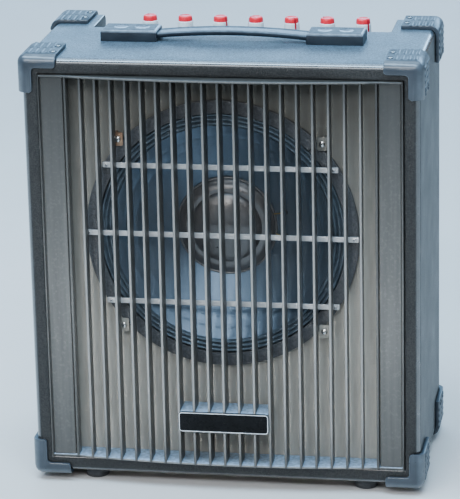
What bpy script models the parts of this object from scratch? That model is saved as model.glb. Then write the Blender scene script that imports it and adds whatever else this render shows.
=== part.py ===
"""Guitar combo amplifier: a vinyl-covered cabinet with a bowed slat grille over one front-mounted
12 inch speaker, seven knobs on a panel sunk into the rear of the top, and a half-open back.

Metres, +Z up. X runs across the front, +Y runs from the grille to the back. The origin is the
centre of the footprint, on the surface that the feet stand on."""

import math

import bmesh
import bpy
from mathutils import Matrix, Vector

# Driving dimensions
CABINET_WIDTH = 0.432
CABINET_HEIGHT = 0.476
CABINET_DEPTH = 0.220
WALL = 0.017
EDGE_RADIUS = 0.007
FOOT_HEIGHT = 0.012
GAP = 0.0003  # left between pieces that touch
BADGE_PROUD = 0.017  # how far the badge stands in front of the cabinet
CORNER_PROUD = 0.0055  # thickness of a corner protector

HALF = CABINET_WIDTH / 2
BASE = FOOT_HEIGHT
TOP = BASE + CABINET_HEIGHT
FRONT = BADGE_PROUD - (CABINET_DEPTH + BADGE_PROUD + CORNER_PROUD) / 2
BACK = FRONT + CABINET_DEPTH
INSIDE = HALF - WALL - GAP  # half the clear width between the side panels
FLOOR = BASE + WALL + GAP
CEILING = TOP - WALL - GAP

# Grille and baffle, as depths behind the cabinet's front edge
SLATS = 21
SLAT_PITCH = 0.01690
SLAT_THICKNESS = 0.0026
SLAT_SHIFT = 0.0004
SLAT_REAR = 0.012
GRILLE_REAR = 0.0234
GRILLE_SIDE_FRONT = -0.0025
GRILLE_BOW = 0.0115
RAIL = 0.0032
BAFFLE_FRONT = 0.024
BAFFLE_THICKNESS = 0.015
BADGE_WIDTH = 0.101
BADGE_LOW = BASE + 0.0590
BADGE_HIGH = BASE + 0.0825
BADGE_THICKNESS = 0.0024

# Speaker, turned about an axis along Y
SPEAKER_X = -0.003
SPEAKER_Z = BASE + 0.2775
SPEAKER_RADIUS = 0.151
GASKET_FRONT = 0.0167
CUTOUT_RADIUS = 0.1415
CONE_RADIUS = 0.1220
NECK_RADIUS = 0.0198
DUST_CAP_RADIUS = 0.0540
MAGNET_RADIUS = 0.0600
BAR_SPACING = 0.0776
BAR_HEIGHT = 0.006
CLAMP_X = 0.112
CLAMP_Z = 0.1065

# Controls
RECESS_DEPTH = 0.016
RECESS_HALF = 0.168
RECESS_FRONT = 0.153
PANEL_TOP = TOP - RECESS_DEPTH
PANEL_THICKNESS = 0.0015
KNOBS = 7
KNOB_PITCH = 0.0404
KNOB_SHIFT = 0.0123
CONTROL_ROW = 0.183  # depth of the row of controls
SHAFT_RADIUS = 0.003
JACK_X = -0.150
LAMP_X = -0.130
SWITCH_X = 0.1555
SWITCH_REST_TILT = math.radians(-8)
SWITCH_HOUSING = (0.0130, 0.0198)
SWITCH_CAVITY = (0.0108, 0.0176)
# Chassis and transformer
CHASSIS_HALF = 0.1655
CHASSIS_FRONT = 0.156
CHASSIS_REAR = 0.2035
CHASSIS_DROP = 0.055
CHASSIS_TOP = PANEL_TOP - PANEL_THICKNESS - GAP
SHEET = 0.0015
CORE_X = -0.105
CORE_DEPTH = 0.1775
CORE_SIZE = (0.066, 0.036, 0.055)
WINDING_SIZE = (0.0426, 0.051, 0.0322)
WINDOW_INNER = 0.0113  # half the width of the core's middle leg
WINDOW_OUTER = 0.0217

# Back panels and mains inlet
BACK_PANEL_FRONT = 0.206
BACK_PANEL_REAR = 0.218
UPPER_PANEL_LOW = TOP - 0.138
LOWER_PANEL_HIGH = BASE + 0.157
INLET_X = 0.110
INLET_Z = TOP - 0.096
INLET_FLANGE = (0.049, 0.0276)
INLET_BODY = (0.0276, 0.0206)
INLET_SOCKET = (0.0244, 0.0170)
INLET_LENGTH = 0.0245
SOCKET_LENGTH = 0.018
PINS = ((-0.0070, -0.0005), (0.0070, -0.0005), (0.0, 0.0045))

# Handle
HANDLE_DEPTH = 0.1020
CAP_INNER = 0.083
CAP_OUTER = 0.1455
CAP_HALF_WIDTH = 0.0178
CAP_HEIGHT = 0.013
STRAP_HALF_WIDTH = 0.0128
STRAP_THICKNESS = 0.006
STRAP_ARCH = 0.0042
STRAP_END = 0.122

# Corner protectors and feet
CORNER_X = 0.044
CORNER_Y = 0.060
CORNER_Z = 0.043
CORNER_LEG = 0.0170
CORNER_LEG_TOP = 0.0150
FOOT_X = 0.153
FOOT_INSET = 0.025
FOOT_RADIUS = 0.014

COLOURS = {
    "vinyl": ((0.035, 0.038, 0.042), 0.55, 0.0),
    "board": ((0.12, 0.12, 0.10), 0.85, 0.0),
    "grille": ((0.20, 0.20, 0.20), 0.45, 0.0),
    "bar": ((0.45, 0.44, 0.43), 0.40, 0.6),
    "badge": ((0.01, 0.01, 0.01), 0.35, 0.0),
    "steel": ((0.40, 0.40, 0.41), 0.35, 1.0),
    "black_steel": ((0.03, 0.03, 0.03), 0.45, 0.6),
    "gasket": ((0.03, 0.03, 0.035), 0.90, 0.0),
    "cone": ((0.02, 0.022, 0.026), 0.50, 0.0),
    "magnet": ((0.06, 0.06, 0.06), 0.80, 0.0),
    "copper": ((0.55, 0.25, 0.12), 0.40, 0.8),
    "knob": ((0.70, 0.02, 0.04), 0.35, 0.0),
    "circuit": ((0.03, 0.14, 0.06), 0.50, 0.0),
    "black_plastic": ((0.02, 0.02, 0.02), 0.45, 0.0),
    "lamp": ((0.60, 0.02, 0.01), 0.15, 0.0),
    "corner": ((0.06, 0.065, 0.07), 0.40, 0.0),
    "rubber": ((0.02, 0.02, 0.02), 0.85, 0.0),
}


# Helpers

def clear_scene():
    for obj in list(bpy.data.objects):
        bpy.data.objects.remove(obj, do_unlink=True)


def material(slot):
    """The slot's Principled BSDF, made once."""
    found = bpy.data.materials.get(slot)
    if found:
        return found
    colour, roughness, metallic = COLOURS[slot]
    made = bpy.data.materials.new(slot)
    made.use_nodes = True
    shader = made.node_tree.nodes["Principled BSDF"]
    shader.inputs["Base Color"].default_value = (*colour, 1.0)
    shader.inputs["Roughness"].default_value = roughness
    shader.inputs["Metallic"].default_value = metallic
    return made


def link(name, mesh, slot, location=(0, 0, 0)):
    obj = bpy.data.objects.new(name, mesh)
    obj.location = location
    bpy.context.scene.collection.objects.link(obj)
    if slot:
        mesh.materials.append(material(slot))
    return obj


def finish(name, bm, slot, location=(0, 0, 0), smooth=False):
    bmesh.ops.recalc_face_normals(bm, faces=bm.faces)
    mesh = bpy.data.meshes.new(name)
    bm.to_mesh(mesh)
    bm.free()
    if smooth:
        mesh.shade_smooth()
        mesh.set_sharp_from_angle(angle=math.radians(35))
    return link(name, mesh, slot, location)


def add_box(bm, low, high):
    """Adds a closed box between two corners and returns its vertices."""
    low, high = Vector(low), Vector(high)
    place = Matrix.Translation((low + high) / 2) @ Matrix.Diagonal((*(high - low), 1))
    return bmesh.ops.create_cube(bm, size=1, matrix=place)["verts"]


def box(name, low, high, slot):
    bm = bmesh.new()
    add_box(bm, low, high)
    return finish(name, bm, slot)


def across(x, z, size, near_y, far_y):
    """The corners of a box of this width and height about (x, z), between two values of Y."""
    return ((x - size[0] / 2, near_y, z - size[1] / 2), (x + size[0] / 2, far_y, z + size[1] / 2))


def upright(x, y, size, low, high):
    """The corners of a box of this width and depth about (x, y), between two heights."""
    return ((x - size[0] / 2, y - size[1] / 2, low), (x + size[0] / 2, y + size[1] / 2, high))


def add_prism(bm, outline, direction, start, end):
    """Adds a closed prism. The outline's points are (a, b) in the plane across the direction."""
    place = {
        "X": lambda a, b, h: (h, a, b),
        "Y": lambda a, b, h: (a, h, b),
        "Z": lambda a, b, h: (a, b, h),
    }[direction]
    bottom = [bm.verts.new(place(a, b, start)) for a, b in outline]
    top = [bm.verts.new(place(a, b, end)) for a, b in outline]
    bm.faces.new(bottom)
    bm.faces.new(list(reversed(top)))
    for i in range(len(outline)):
        j = (i + 1) % len(outline)
        bm.faces.new((bottom[i], bottom[j], top[j], top[i]))


def prism(name, outline, direction, start, end, slot, location=(0, 0, 0), smooth=False):
    bm = bmesh.new()
    add_prism(bm, outline, direction, start, end)
    return finish(name, bm, slot, location, smooth)


def turned(name, profile, slot, location, steps, direction="Z"):
    """A closed (radius, height) profile turned about Z or Y through the location."""
    bm = bmesh.new()
    verts = [bm.verts.new((radius, 0, height)) for radius, height in profile]
    edges = [bm.edges.new((verts[i - 1], verts[i])) for i in range(len(verts))]
    bmesh.ops.spin(bm, geom=verts + edges, cent=(0, 0, 0), axis=(0, 0, 1),
                   angle=math.tau, steps=steps, use_merge=True)
    bmesh.ops.remove_doubles(bm, verts=bm.verts, dist=1e-6)
    bmesh.ops.dissolve_degenerate(bm, edges=bm.edges, dist=1e-7)
    if direction == "Y":
        bmesh.ops.rotate(bm, verts=bm.verts, matrix=Matrix.Rotation(-math.pi / 2, 3, "X"))
    return finish(name, bm, slot, location, smooth=True)


def combine(target, helper, operation):
    """Leaves a Boolean on the target, and hides the helper that it uses."""
    helper.hide_render = True
    helper.display_type = "WIRE"
    modifier = target.modifiers.new(operation.lower(), "BOOLEAN")
    modifier.operation = operation
    modifier.object = helper
    modifier.solver = "EXACT"
    return target


def cut(target, helper):
    return combine(target, helper, "DIFFERENCE")


def join(target, helper):
    return combine(target, helper, "UNION")


def bevel_edges(obj, chosen, width, segments=3):
    """Rounds the edges whose midpoint and direction pass the test."""
    bm = bmesh.new()
    bm.from_mesh(obj.data)
    edges = [
        edge for edge in bm.edges
        if chosen((edge.verts[0].co + edge.verts[1].co) / 2,
                  (edge.verts[1].co - edge.verts[0].co).normalized())
    ]
    bmesh.ops.bevel(bm, geom=edges, offset=width, segments=segments, profile=0.5, affect="EDGES")
    bm.to_mesh(obj.data)
    bm.free()
    return obj


def depth(distance):
    """The Y of a distance behind the cabinet's front edge."""
    return FRONT + distance


def near(a, b):
    return abs(a - b) < 1e-5


def circle(radius, steps, centre=(0, 0)):
    return [
        (centre[0] + radius * math.cos(math.tau * i / steps),
         centre[1] + radius * math.sin(math.tau * i / steps))
        for i in range(steps)
    ]


def knob_positions():
    return [KNOB_SHIFT + (i - (KNOBS - 1) / 2) * KNOB_PITCH for i in range(KNOBS)]


# Cabinet

def on_front_or_back(mid):
    return near(mid.y, FRONT) or near(mid.y, BACK)


def on_a_side(mid):
    return near(abs(mid.x), HALF)


def horizontal_panel(name, low, high, outer):
    """The top or bottom panel, rounded on every edge that the cabinet shows outside."""
    obj = box(name, (-HALF, FRONT, low), (HALF, BACK, high), "vinyl")

    def shown(mid, direction):
        if abs(direction.z) > 0.9:
            return True
        return near(mid.z, outer)

    return bevel_edges(obj, shown, EDGE_RADIUS)


def cabinet():
    horizontal_panel("cabinet_bottom", BASE, BASE + WALL, BASE)
    top = horizontal_panel("cabinet_top", TOP - WALL, TOP, TOP)
    recess = box("recess_cutter", (-RECESS_HALF, depth(RECESS_FRONT), TOP - 2 * WALL),
                 (RECESS_HALF, BACK + WALL, TOP + WALL), None)
    cut(top, recess)
    for name, side in (("cabinet_left", -1), ("cabinet_right", 1)):
        inner, outer = sorted((side * (HALF - WALL), side * HALF))
        panel = box(name, (inner, FRONT, FLOOR), (outer, BACK, CEILING), "vinyl")
        bevel_edges(panel, lambda mid, direction: on_front_or_back(mid) and on_a_side(mid),
                    EDGE_RADIUS)


def baffle():
    board = box("baffle_board", (-INSIDE, depth(BAFFLE_FRONT), FLOOR),
                (INSIDE, depth(BAFFLE_FRONT + BAFFLE_THICKNESS), CEILING), "board")
    hole = prism("baffle_cutter", circle(CUTOUT_RADIUS, 36, (SPEAKER_X, SPEAKER_Z)), "Y",
                 depth(0), depth(0.06), None)
    cut(board, hole)


def back_panels():
    box("back_panel_lower", (-INSIDE, depth(BACK_PANEL_FRONT), FLOOR),
        (INSIDE, depth(BACK_PANEL_REAR), LOWER_PANEL_HIGH), "vinyl")
    upper = box("back_panel_upper", (-INSIDE, depth(BACK_PANEL_FRONT), UPPER_PANEL_LOW),
                (INSIDE, depth(BACK_PANEL_REAR), PANEL_TOP - PANEL_THICKNESS - GAP), "vinyl")
    size = (INLET_BODY[0] + 0.0008, INLET_BODY[1] + 0.0008)
    hole = box("inlet_cutter", *across(INLET_X, INLET_Z, size, depth(0.19), depth(0.24)), None)
    cut(upper, hole)


# Grille

def bow(x):
    """How far behind the cabinet's front edge the grille's face lies at this x."""
    across = min(abs(x) / (SLAT_PITCH * (SLATS - 1) / 2), 1.0)
    return GRILLE_SIDE_FRONT - GRILLE_BOW * (1 - across ** 2)


def bowed_plate(bm, low, high, forward):
    """A horizontal rail whose front edge follows the bow, this far in front of the slats."""
    steps = 24
    half = INSIDE - 0.001
    front = [-half + 2 * half * i / steps for i in range(steps + 1)]
    outline = [(x, depth(bow(x) - forward)) for x in front]
    outline += [(half, depth(GRILLE_REAR)), (-half, depth(GRILLE_REAR))]
    add_prism(bm, outline, "Z", low, high)


def grille_side(bm, side):
    """The channel at one side: an outer wall with a lip, a groove, then a flat flange."""
    wall, lip, groove, flange = INSIDE, 0.0020, 0.0024, 0.0022
    inner = SLAT_PITCH * (SLATS - 1) / 2 + 0.0026 + side * SLAT_SHIFT
    outline = [
        (wall, GRILLE_SIDE_FRONT - 0.001), (wall, GRILLE_REAR), (wall - lip, GRILLE_REAR),
        (wall - lip, 0.0030 + flange), (inner, 0.0030 + flange), (inner, 0.0),
        (wall - lip - groove, 0.0), (wall - lip - groove, 0.0030), (wall - lip, 0.0030),
        (wall - lip, GRILLE_SIDE_FRONT - 0.001),
    ]
    placed = [(side * x, depth(y)) for x, y in outline]
    add_prism(bm, placed, "Z", FLOOR, CEILING)


def grille():
    bm = bmesh.new()
    bowed_plate(bm, CEILING - RAIL, CEILING, 0.0006)
    rails = finish("grille", bm, "grille")
    bm = bmesh.new()
    bowed_plate(bm, FLOOR, FLOOR + RAIL, -0.0012)
    join(rails, finish("grille_bottom_rail", bm, None))
    for side, name in ((-1, "grille_left_side"), (1, "grille_right_side")):
        bm = bmesh.new()
        grille_side(bm, side)
        join(rails, finish(name, bm, None))
    bm = bmesh.new()
    for i in range(SLATS):
        x = SLAT_SHIFT + (i - (SLATS - 1) / 2) * SLAT_PITCH
        add_box(bm, (x - SLAT_THICKNESS / 2, depth(bow(x)), FLOOR + 0.001),
                (x + SLAT_THICKNESS / 2, depth(SLAT_REAR), CEILING - 0.001))
    join(rails, finish("grille_slats", bm, None))
    block = box("badge_block", (-BADGE_WIDTH / 2 + 0.001, depth(-0.0130), BADGE_LOW + 0.001),
                (BADGE_WIDTH / 2 - 0.001, depth(0.0195), BADGE_HIGH - 0.001), None)
    join(rails, block)
    plate = box("badge_plate", (-BADGE_WIDTH / 2, depth(-BADGE_PROUD), BADGE_LOW),
                (BADGE_WIDTH / 2, depth(BADGE_THICKNESS - BADGE_PROUD), BADGE_HIGH), "badge")
    bevel_edges(plate, lambda mid, direction: abs(direction.y) > 0.9, 0.004)


def guard_bars():
    """Flat strips across the speaker, thicker at both ends, where they rest on its gasket."""
    front, strip, pad = 0.0123, 0.0024, 0.0095
    foot = GASKET_FRONT - GAP
    for name, offset in (("guard_bar_upper", 1), ("guard_bar_middle", 0), ("guard_bar_lower", -1)):
        height = offset * BAR_SPACING
        outer = math.sqrt(SPEAKER_RADIUS ** 2 - height ** 2)
        inner = outer - pad
        outline = [
            (-outer, front), (outer, front), (outer, foot), (inner, foot),
            (inner, front + strip), (-inner, front + strip), (-inner, foot), (-outer, foot),
        ]
        placed = [(SPEAKER_X + x, depth(y)) for x, y in outline]
        low = SPEAKER_Z + height - BAR_HEIGHT / 2
        prism(name, placed, "Z", low, low + BAR_HEIGHT, "bar")


# Speaker

def speaker_axis(distance=0.0):
    return (SPEAKER_X, depth(distance), SPEAKER_Z)


def speaker_ring(name, profile, slot, steps):
    """A profile of (radius, depth behind the cabinet's front edge), turned about the speaker."""
    return turned(name, profile, slot, speaker_axis(), steps, "Y")


def basket():
    """Pressed frame: rim, skirt, and eight arms down to the plate that holds the magnet."""
    frame = speaker_ring("speaker_basket", [
        (0.1373, 0.0207), (SPEAKER_RADIUS, 0.0207), (SPEAKER_RADIUS, 0.0237),
        (0.1395, 0.0237), (0.1395, 0.0360), (0.0640, 0.0880), (0.0220, 0.0880),
        (0.0220, 0.0858), (0.0630, 0.0858), (0.1373, 0.0349),
    ], "black_steel", 36)
    bm = bmesh.new()
    for i in range(8):
        angle = math.tau * (i + 0.5) / 8
        corners = [(0.074, -0.014), (0.128, -0.025), (0.128, 0.025), (0.074, 0.014)]
        outline = [
            (SPEAKER_X + r * math.cos(angle) - t * math.sin(angle),
             SPEAKER_Z + r * math.sin(angle) + t * math.cos(angle))
            for r, t in corners
        ]
        add_prism(bm, outline, "Y", depth(0.030), depth(0.0845))
    cut(frame, finish("basket_window_cutter", bm, None))


def surround():
    """Three half-rolls between the cone's edge and the rim."""
    inner, outer, thickness, steps = 0.1227, 0.1366, 0.0010, 6

    def roll(radius):
        return 0.0224 - 0.0026 * abs(math.sin(3 * math.pi * (radius - inner) / (outer - inner)))

    radii = [inner + (outer - inner) * i / steps for i in range(steps + 1)]
    front = [(r, roll(r)) for r in radii]
    rear = [(r, roll(r) + thickness) for r in reversed(radii)]
    speaker_ring("speaker_surround", front + rear, "gasket", 30)


def cone():
    """The paper cone, slightly curved in section, on its own slide along the speaker's axis."""
    steps, thickness, rim, neck = 4, 0.0010, 0.0222, 0.0700
    front, rear = [], []
    for i in range(steps + 1):
        t = i / steps
        radius = CONE_RADIUS + (NECK_RADIUS - CONE_RADIUS) * t
        level = rim + (neck - rim) * (t + 0.10 * t * (1 - t))
        front.append((radius, level))
        rear.append((radius, level + thickness))
    speaker_ring("speaker_cone", front + list(reversed(rear)), "cone", 30)
    dome = [(DUST_CAP_RADIUS, 0.0525), (0.0436, 0.0474), (0.0370, 0.0462), (0.0262, 0.0424),
            (0.0131, 0.0402), (0.0, 0.0394)]
    shell = dome + [(r * 0.985, level + 0.0009) for r, level in reversed(dome)]
    speaker_ring("dust_cap", shell, "cone", 24)
    speaker_ring("voice_coil", [(0.0188, 0.0720), (0.0194, 0.0720), (0.0194, 0.0880),
                                (0.0198, 0.0880), (0.0198, 0.0985), (0.0188, 0.0985)],
                 "copper", 20)


def motor():
    """Spider, top plate, ring magnet and the yoke whose pole stands inside the voice coil."""
    spider = [(0.0204, 0.0800)]
    folds = 2
    for i in range(2 * folds):
        spider.append((0.0240 + 0.0080 * i, 0.0800 + 0.0020 * (i % 2)))
    spider += [(0.0530, 0.0844), (0.0600, 0.0844)]
    back = [(r, level + 0.0009) for r, level in reversed(spider)]
    speaker_ring("spider", spider + back, "gasket", 20)
    speaker_ring("magnet_top_plate", [(0.0203, 0.0883), (0.0520, 0.0883), (0.0520, 0.0953),
                                      (0.0203, 0.0953)], "steel", 24)
    speaker_ring("magnet_ring", [(0.0245, 0.0956), (MAGNET_RADIUS, 0.0956),
                                 (MAGNET_RADIUS, 0.1156), (0.0245, 0.1156)], "magnet", 24)
    speaker_ring("magnet_yoke", [(0.0, 0.0850), (0.0180, 0.0850), (0.0180, 0.1159),
                                 (0.0520, 0.1159), (0.0520, 0.1229), (0.0, 0.1229)],
                 "steel", 24)


def clamps():
    """Four tabs that press the speaker's rim to the baffle, each with its screw."""
    for name, right, up in (("speaker_clamp_top_left", -1, 1), ("speaker_clamp_top_right", 1, 1),
                            ("speaker_clamp_bottom_left", -1, -1),
                            ("speaker_clamp_bottom_right", 1, -1)):
        x, z = SPEAKER_X + right * CLAMP_X, SPEAKER_Z + up * CLAMP_Z
        plate = box(name, (x - 0.0055, depth(0.0144), z - 0.0075),
                    (x + 0.0055, depth(0.0164), z + 0.0075), "board")
        sides = sorted((x + right * 0.0015, x + right * 0.0055))
        ends = sorted((z + up * 0.0020, z + up * 0.0075))
        leg = box(name + "_leg", (sides[0], depth(0.0150), ends[0]),
                  (sides[1], depth(BAFFLE_FRONT - GAP), ends[1]), None)
        join(plate, leg)
        head = turned(name + "_screw", [(0, 0), (0.0026, 0), (0.0036, 0.0010), (0.0036, 0.0030),
                                        (0, 0.0030)], None, (x, depth(0.0127), z), 12, "Y")
        join(plate, head)


def terminal_and_lead():
    z = SPEAKER_Z + 0.105
    box("speaker_terminal", (SPEAKER_X - 0.014, depth(0.0655), z - 0.007),
        (SPEAKER_X + 0.014, depth(0.0705), z + 0.007), "black_plastic")
    start = Vector((SPEAKER_X, depth(0.0705 + GAP), z))
    end = Vector((SPEAKER_X + 0.030, depth(0.156 - GAP), PANEL_TOP - 0.040))
    route = [start, start + Vector((0, 0.012, -0.001)), start + Vector((0.006, 0.030, -0.010)),
             start + Vector((0.016, 0.048, -0.006)), start + Vector((0.026, 0.062, 0.014)),
             end - Vector((0, 0.012, 0.002)), end]
    tube("speaker_lead", route, 0.0024, "black_plastic", 18)


def tube(name, route, radius, slot, count):
    """A round tube along a smooth curve through the route, with filled ends."""
    data = bpy.data.curves.new(name, "CURVE")
    data.dimensions = "3D"
    data.bevel_depth = radius
    data.bevel_resolution = 2
    data.use_fill_caps = True
    spline = data.splines.new("POLY")
    points = smooth_points(route, count)
    spline.points.add(len(points) - 1)
    for point, place in zip(spline.points, points):
        point.co = (*place, 1.0)
    obj = bpy.data.objects.new(name, data)
    bpy.context.scene.collection.objects.link(obj)
    data.materials.append(material(slot))
    return obj


def smooth_points(route, count):
    """Points along the Catmull-Rom curve through the route."""
    points = [route[0] * 2 - route[1], *route, route[-1] * 2 - route[-2]]
    spans = len(route) - 1
    found = []
    for i in range(count + 1):
        place = i / count * spans
        k = min(int(place), spans - 1)
        t = place - k
        a, b, c, d = points[k:k + 4]
        found.append(0.5 * (2 * b + (c - a) * t + (2 * a - 5 * b + 4 * c - d) * t ** 2
                            + (3 * b - a - 3 * c + d) * t ** 3))
    return found


# Controls

def control_panel():
    panel = box("control_panel", (-RECESS_HALF + 0.0005, depth(RECESS_FRONT + 0.0005),
                                  PANEL_TOP - PANEL_THICKNESS),
                (RECESS_HALF - 0.0005, depth(CABINET_DEPTH - 0.0015), PANEL_TOP), "black_steel")
    bm = bmesh.new()
    row = depth(CONTROL_ROW)
    low, high = PANEL_TOP - 0.02, PANEL_TOP + 0.02
    for x in knob_positions():
        add_prism(bm, circle(SHAFT_RADIUS + 0.0012, 12, (x, row)), "Z", low, high)
    add_prism(bm, circle(0.0060, 12, (JACK_X, row)), "Z", low, high)
    add_prism(bm, circle(0.0034, 8, (LAMP_X, row)), "Z", low, high)
    size = (SWITCH_HOUSING[0] + 0.0006, SWITCH_HOUSING[1] + 0.0006)
    add_box(bm, *upright(SWITCH_X, row, size, low, high))
    cut(panel, finish("panel_cutter", bm, None))


def chassis():
    """Folded steel tray that hangs under the control panel."""
    high = CHASSIS_TOP
    low = high - CHASSIS_DROP
    front, rear = depth(CHASSIS_FRONT), depth(CHASSIS_REAR)
    tray = box("chassis", (-CHASSIS_HALF, front, low), (CHASSIS_HALF, rear, high), "steel")
    hollow = box("chassis_cutter", (-CHASSIS_HALF + SHEET, front + SHEET, low + SHEET),
                 (CHASSIS_HALF - SHEET, rear - SHEET, high + 0.01), None)
    cut(tray, hollow)


def knobs():
    """Skirted knobs, each in one piece with its shaft, turning about Z."""
    foot = 0.0010
    profile = [(0, -0.0095), (SHAFT_RADIUS, -0.0095), (SHAFT_RADIUS, foot), (0.0095, foot),
               (0.0096, foot + 0.0012), (0.0086, foot + 0.0172), (0.0081, foot + 0.0178),
               (0.0077, foot + 0.0215), (0.0068, foot + 0.0228), (0, foot + 0.0231)]
    for i, x in enumerate(knob_positions()):
        turned(f"knob_{i + 1}", profile, "knob", (x, depth(CONTROL_ROW), PANEL_TOP), 16)


def control_board():
    """The circuit board with the seven potentiometers, each open for its knob's shaft."""
    xs = knob_positions()
    row = depth(CONTROL_ROW)
    under = CHASSIS_TOP
    board = box("control_board", (xs[0] - 0.012, row - 0.016, under - 0.0126),
                (xs[-1] + 0.011, row + 0.015, under - 0.0110), "circuit")
    bodies, bores = bmesh.new(), bmesh.new()
    for x in xs:
        add_prism(bodies, circle(0.0085, 12, (x, row)), "Z", under - 0.0115, under)
        add_prism(bores, circle(SHAFT_RADIUS + 0.0007, 8, (x, row)), "Z",
                  under - 0.0090, under + 0.01)
    join(board, finish("pot_bodies", bodies, None))
    cut(board, finish("pot_bores", bores, None))


def jack_and_lamp():
    row = depth(CONTROL_ROW)
    turned("input_jack", [
        (0.0033, 0.0040), (0.0055, 0.0040), (0.0055, 0.0025), (0.0075, 0.0025), (0.0075, GAP),
        (0.0055, GAP), (0.0055, -0.0018), (0.0080, -0.0018), (0.0080, -0.0220), (0, -0.0220),
        (0, -0.0190), (0.0033, -0.0190),
    ], "black_plastic", (JACK_X, row, PANEL_TOP), 16)
    turned("pilot_lamp", [
        (0, 0.0040), (0.0018, 0.0034), (0.0028, 0.0016), (0.0042, 0.0014), (0.0042, GAP),
        (0.0028, GAP), (0.0028, -0.0080), (0, -0.0080),
    ], "lamp", (LAMP_X, row, PANEL_TOP), 12)


def power_switch():
    """Housing through the panel, and the rocker on its own axis along X."""
    row = depth(CONTROL_ROW)
    flange = box("power_switch_body", *upright(SWITCH_X, row, (0.0156, 0.0232), PANEL_TOP + GAP,
                                               PANEL_TOP + 0.0020), "black_plastic")
    join(flange, box("switch_housing", *upright(SWITCH_X, row, SWITCH_HOUSING, PANEL_TOP - 0.0160,
                                                PANEL_TOP + 0.0012), None))
    cut(flange, box("switch_cavity", *upright(SWITCH_X, row, SWITCH_CAVITY, PANEL_TOP - 0.0070,
                                              PANEL_TOP + 0.0100), None))
    outline = [(-0.0074, 0.0034), (0, 0.0018), (0.0074, 0.0034), (0.0066, -0.0030),
               (0, -0.0050), (-0.0066, -0.0030)]
    rocker = prism("power_rocker", outline, "X", -0.0049, 0.0049, "black_plastic",
                   (SWITCH_X, row, PANEL_TOP + 0.0010))
    rocker.rotation_euler = (SWITCH_REST_TILT, 0, 0)


def mains_inlet():
    """Three-pin inlet in the upper back panel: flange, socket and pins."""
    face = depth(BACK_PANEL_REAR) + GAP
    body = box("mains_inlet", *across(INLET_X, INLET_Z, INLET_FLANGE, face, face + 0.0016),
               "black_plastic")
    join(body, box("inlet_body", *across(INLET_X, INLET_Z, INLET_BODY, face - INLET_LENGTH,
                                         face + 0.0010), None))
    cut(body, box("inlet_socket", *across(INLET_X, INLET_Z, INLET_SOCKET, face - SOCKET_LENGTH,
                                          face + 0.01), None))
    bm = bmesh.new()
    for x, z in PINS:
        add_box(bm, *across(INLET_X + x, INLET_Z + z, (0.002, 0.004),
                            face - SOCKET_LENGTH - 0.001, face - 0.003))
    join(body, finish("inlet_pins", bm, None))


def transformer():
    """Laminated core hung under the chassis, with its winding round the middle leg."""
    y = depth(CORE_DEPTH)
    high = CHASSIS_TOP - CHASSIS_DROP - GAP
    middle = high - CORE_SIZE[2] / 2
    core = box("transformer_core", *upright(CORE_X, y, CORE_SIZE, high - CORE_SIZE[2], high),
               "black_steel")
    half = WINDING_SIZE[2] / 2
    bm = bmesh.new()
    for side in (-1, 1):
        near_x, far_x = sorted((CORE_X + side * WINDOW_INNER, CORE_X + side * WINDOW_OUTER))
        add_box(bm, (near_x, depth(0), middle - half - 0.0004),
                (far_x, BACK, middle + half + 0.0004))
    cut(core, finish("core_windows", bm, None))
    winding = box("transformer_winding", *upright(CORE_X, y, WINDING_SIZE, middle - half,
                                                  middle + half), "copper")
    leg = (2 * WINDOW_INNER + 2 * GAP, CORE_SIZE[1] + 0.0008)
    cut(winding, box("winding_hole", *upright(CORE_X, y, leg, middle - 0.03, middle + 0.03), None))


# Handle, corners and feet

def strap_level(x):
    """Height of the strap's middle above the cabinet's top."""
    return 0.0060 + STRAP_ARCH * max(0.0, 1 - (x / CAP_INNER) ** 2)


def handle():
    bm = bmesh.new()
    sections = 14
    half, thick = STRAP_HALF_WIDTH, STRAP_THICKNESS / 2
    shape = [(-half, -thick * 0.5), (-half * 0.9, -thick), (half * 0.9, -thick),
             (half, -thick * 0.5), (half, thick * 0.4), (half * 0.85, thick),
             (-half * 0.85, thick), (-half, thick * 0.4)]
    loops = []
    for i in range(sections + 1):
        x = -STRAP_END + 2 * STRAP_END * i / sections
        level = TOP + strap_level(x)
        loops.append([bm.verts.new((x, depth(HANDLE_DEPTH) + y, level + z)) for y, z in shape])
    for first, second in zip(loops, loops[1:]):
        for i in range(len(shape)):
            j = (i + 1) % len(shape)
            bm.faces.new((first[i], first[j], second[j], second[i]))
    bm.faces.new(loops[0])
    bm.faces.new(list(reversed(loops[-1])))
    finish("handle_strap", bm, "rubber", smooth=True)
    for name, side in (("handle_cap_left", -1), ("handle_cap_right", 1)):
        inner, outer = sorted((side * CAP_INNER, side * CAP_OUTER))
        cap = box(name, (inner, depth(HANDLE_DEPTH) - CAP_HALF_WIDTH, TOP + GAP),
                  (outer, depth(HANDLE_DEPTH) + CAP_HALF_WIDTH, TOP + CAP_HEIGHT), "corner")
        bevel_edges(cap, lambda mid, direction: mid.z > TOP + CAP_HEIGHT - 1e-5
                    or abs(direction.z) > 0.9, 0.0022, 2)
        slot = sorted((side * (CAP_INNER - 0.01), side * (STRAP_END + 0.004)))
        cut(cap, box(name + "_slot",
                     (slot[0], depth(HANDLE_DEPTH) - STRAP_HALF_WIDTH - 0.0007, TOP + 0.0018),
                     (slot[1], depth(HANDLE_DEPTH) + STRAP_HALF_WIDTH + 0.0007, TOP + 0.0104),
                     None))


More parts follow.
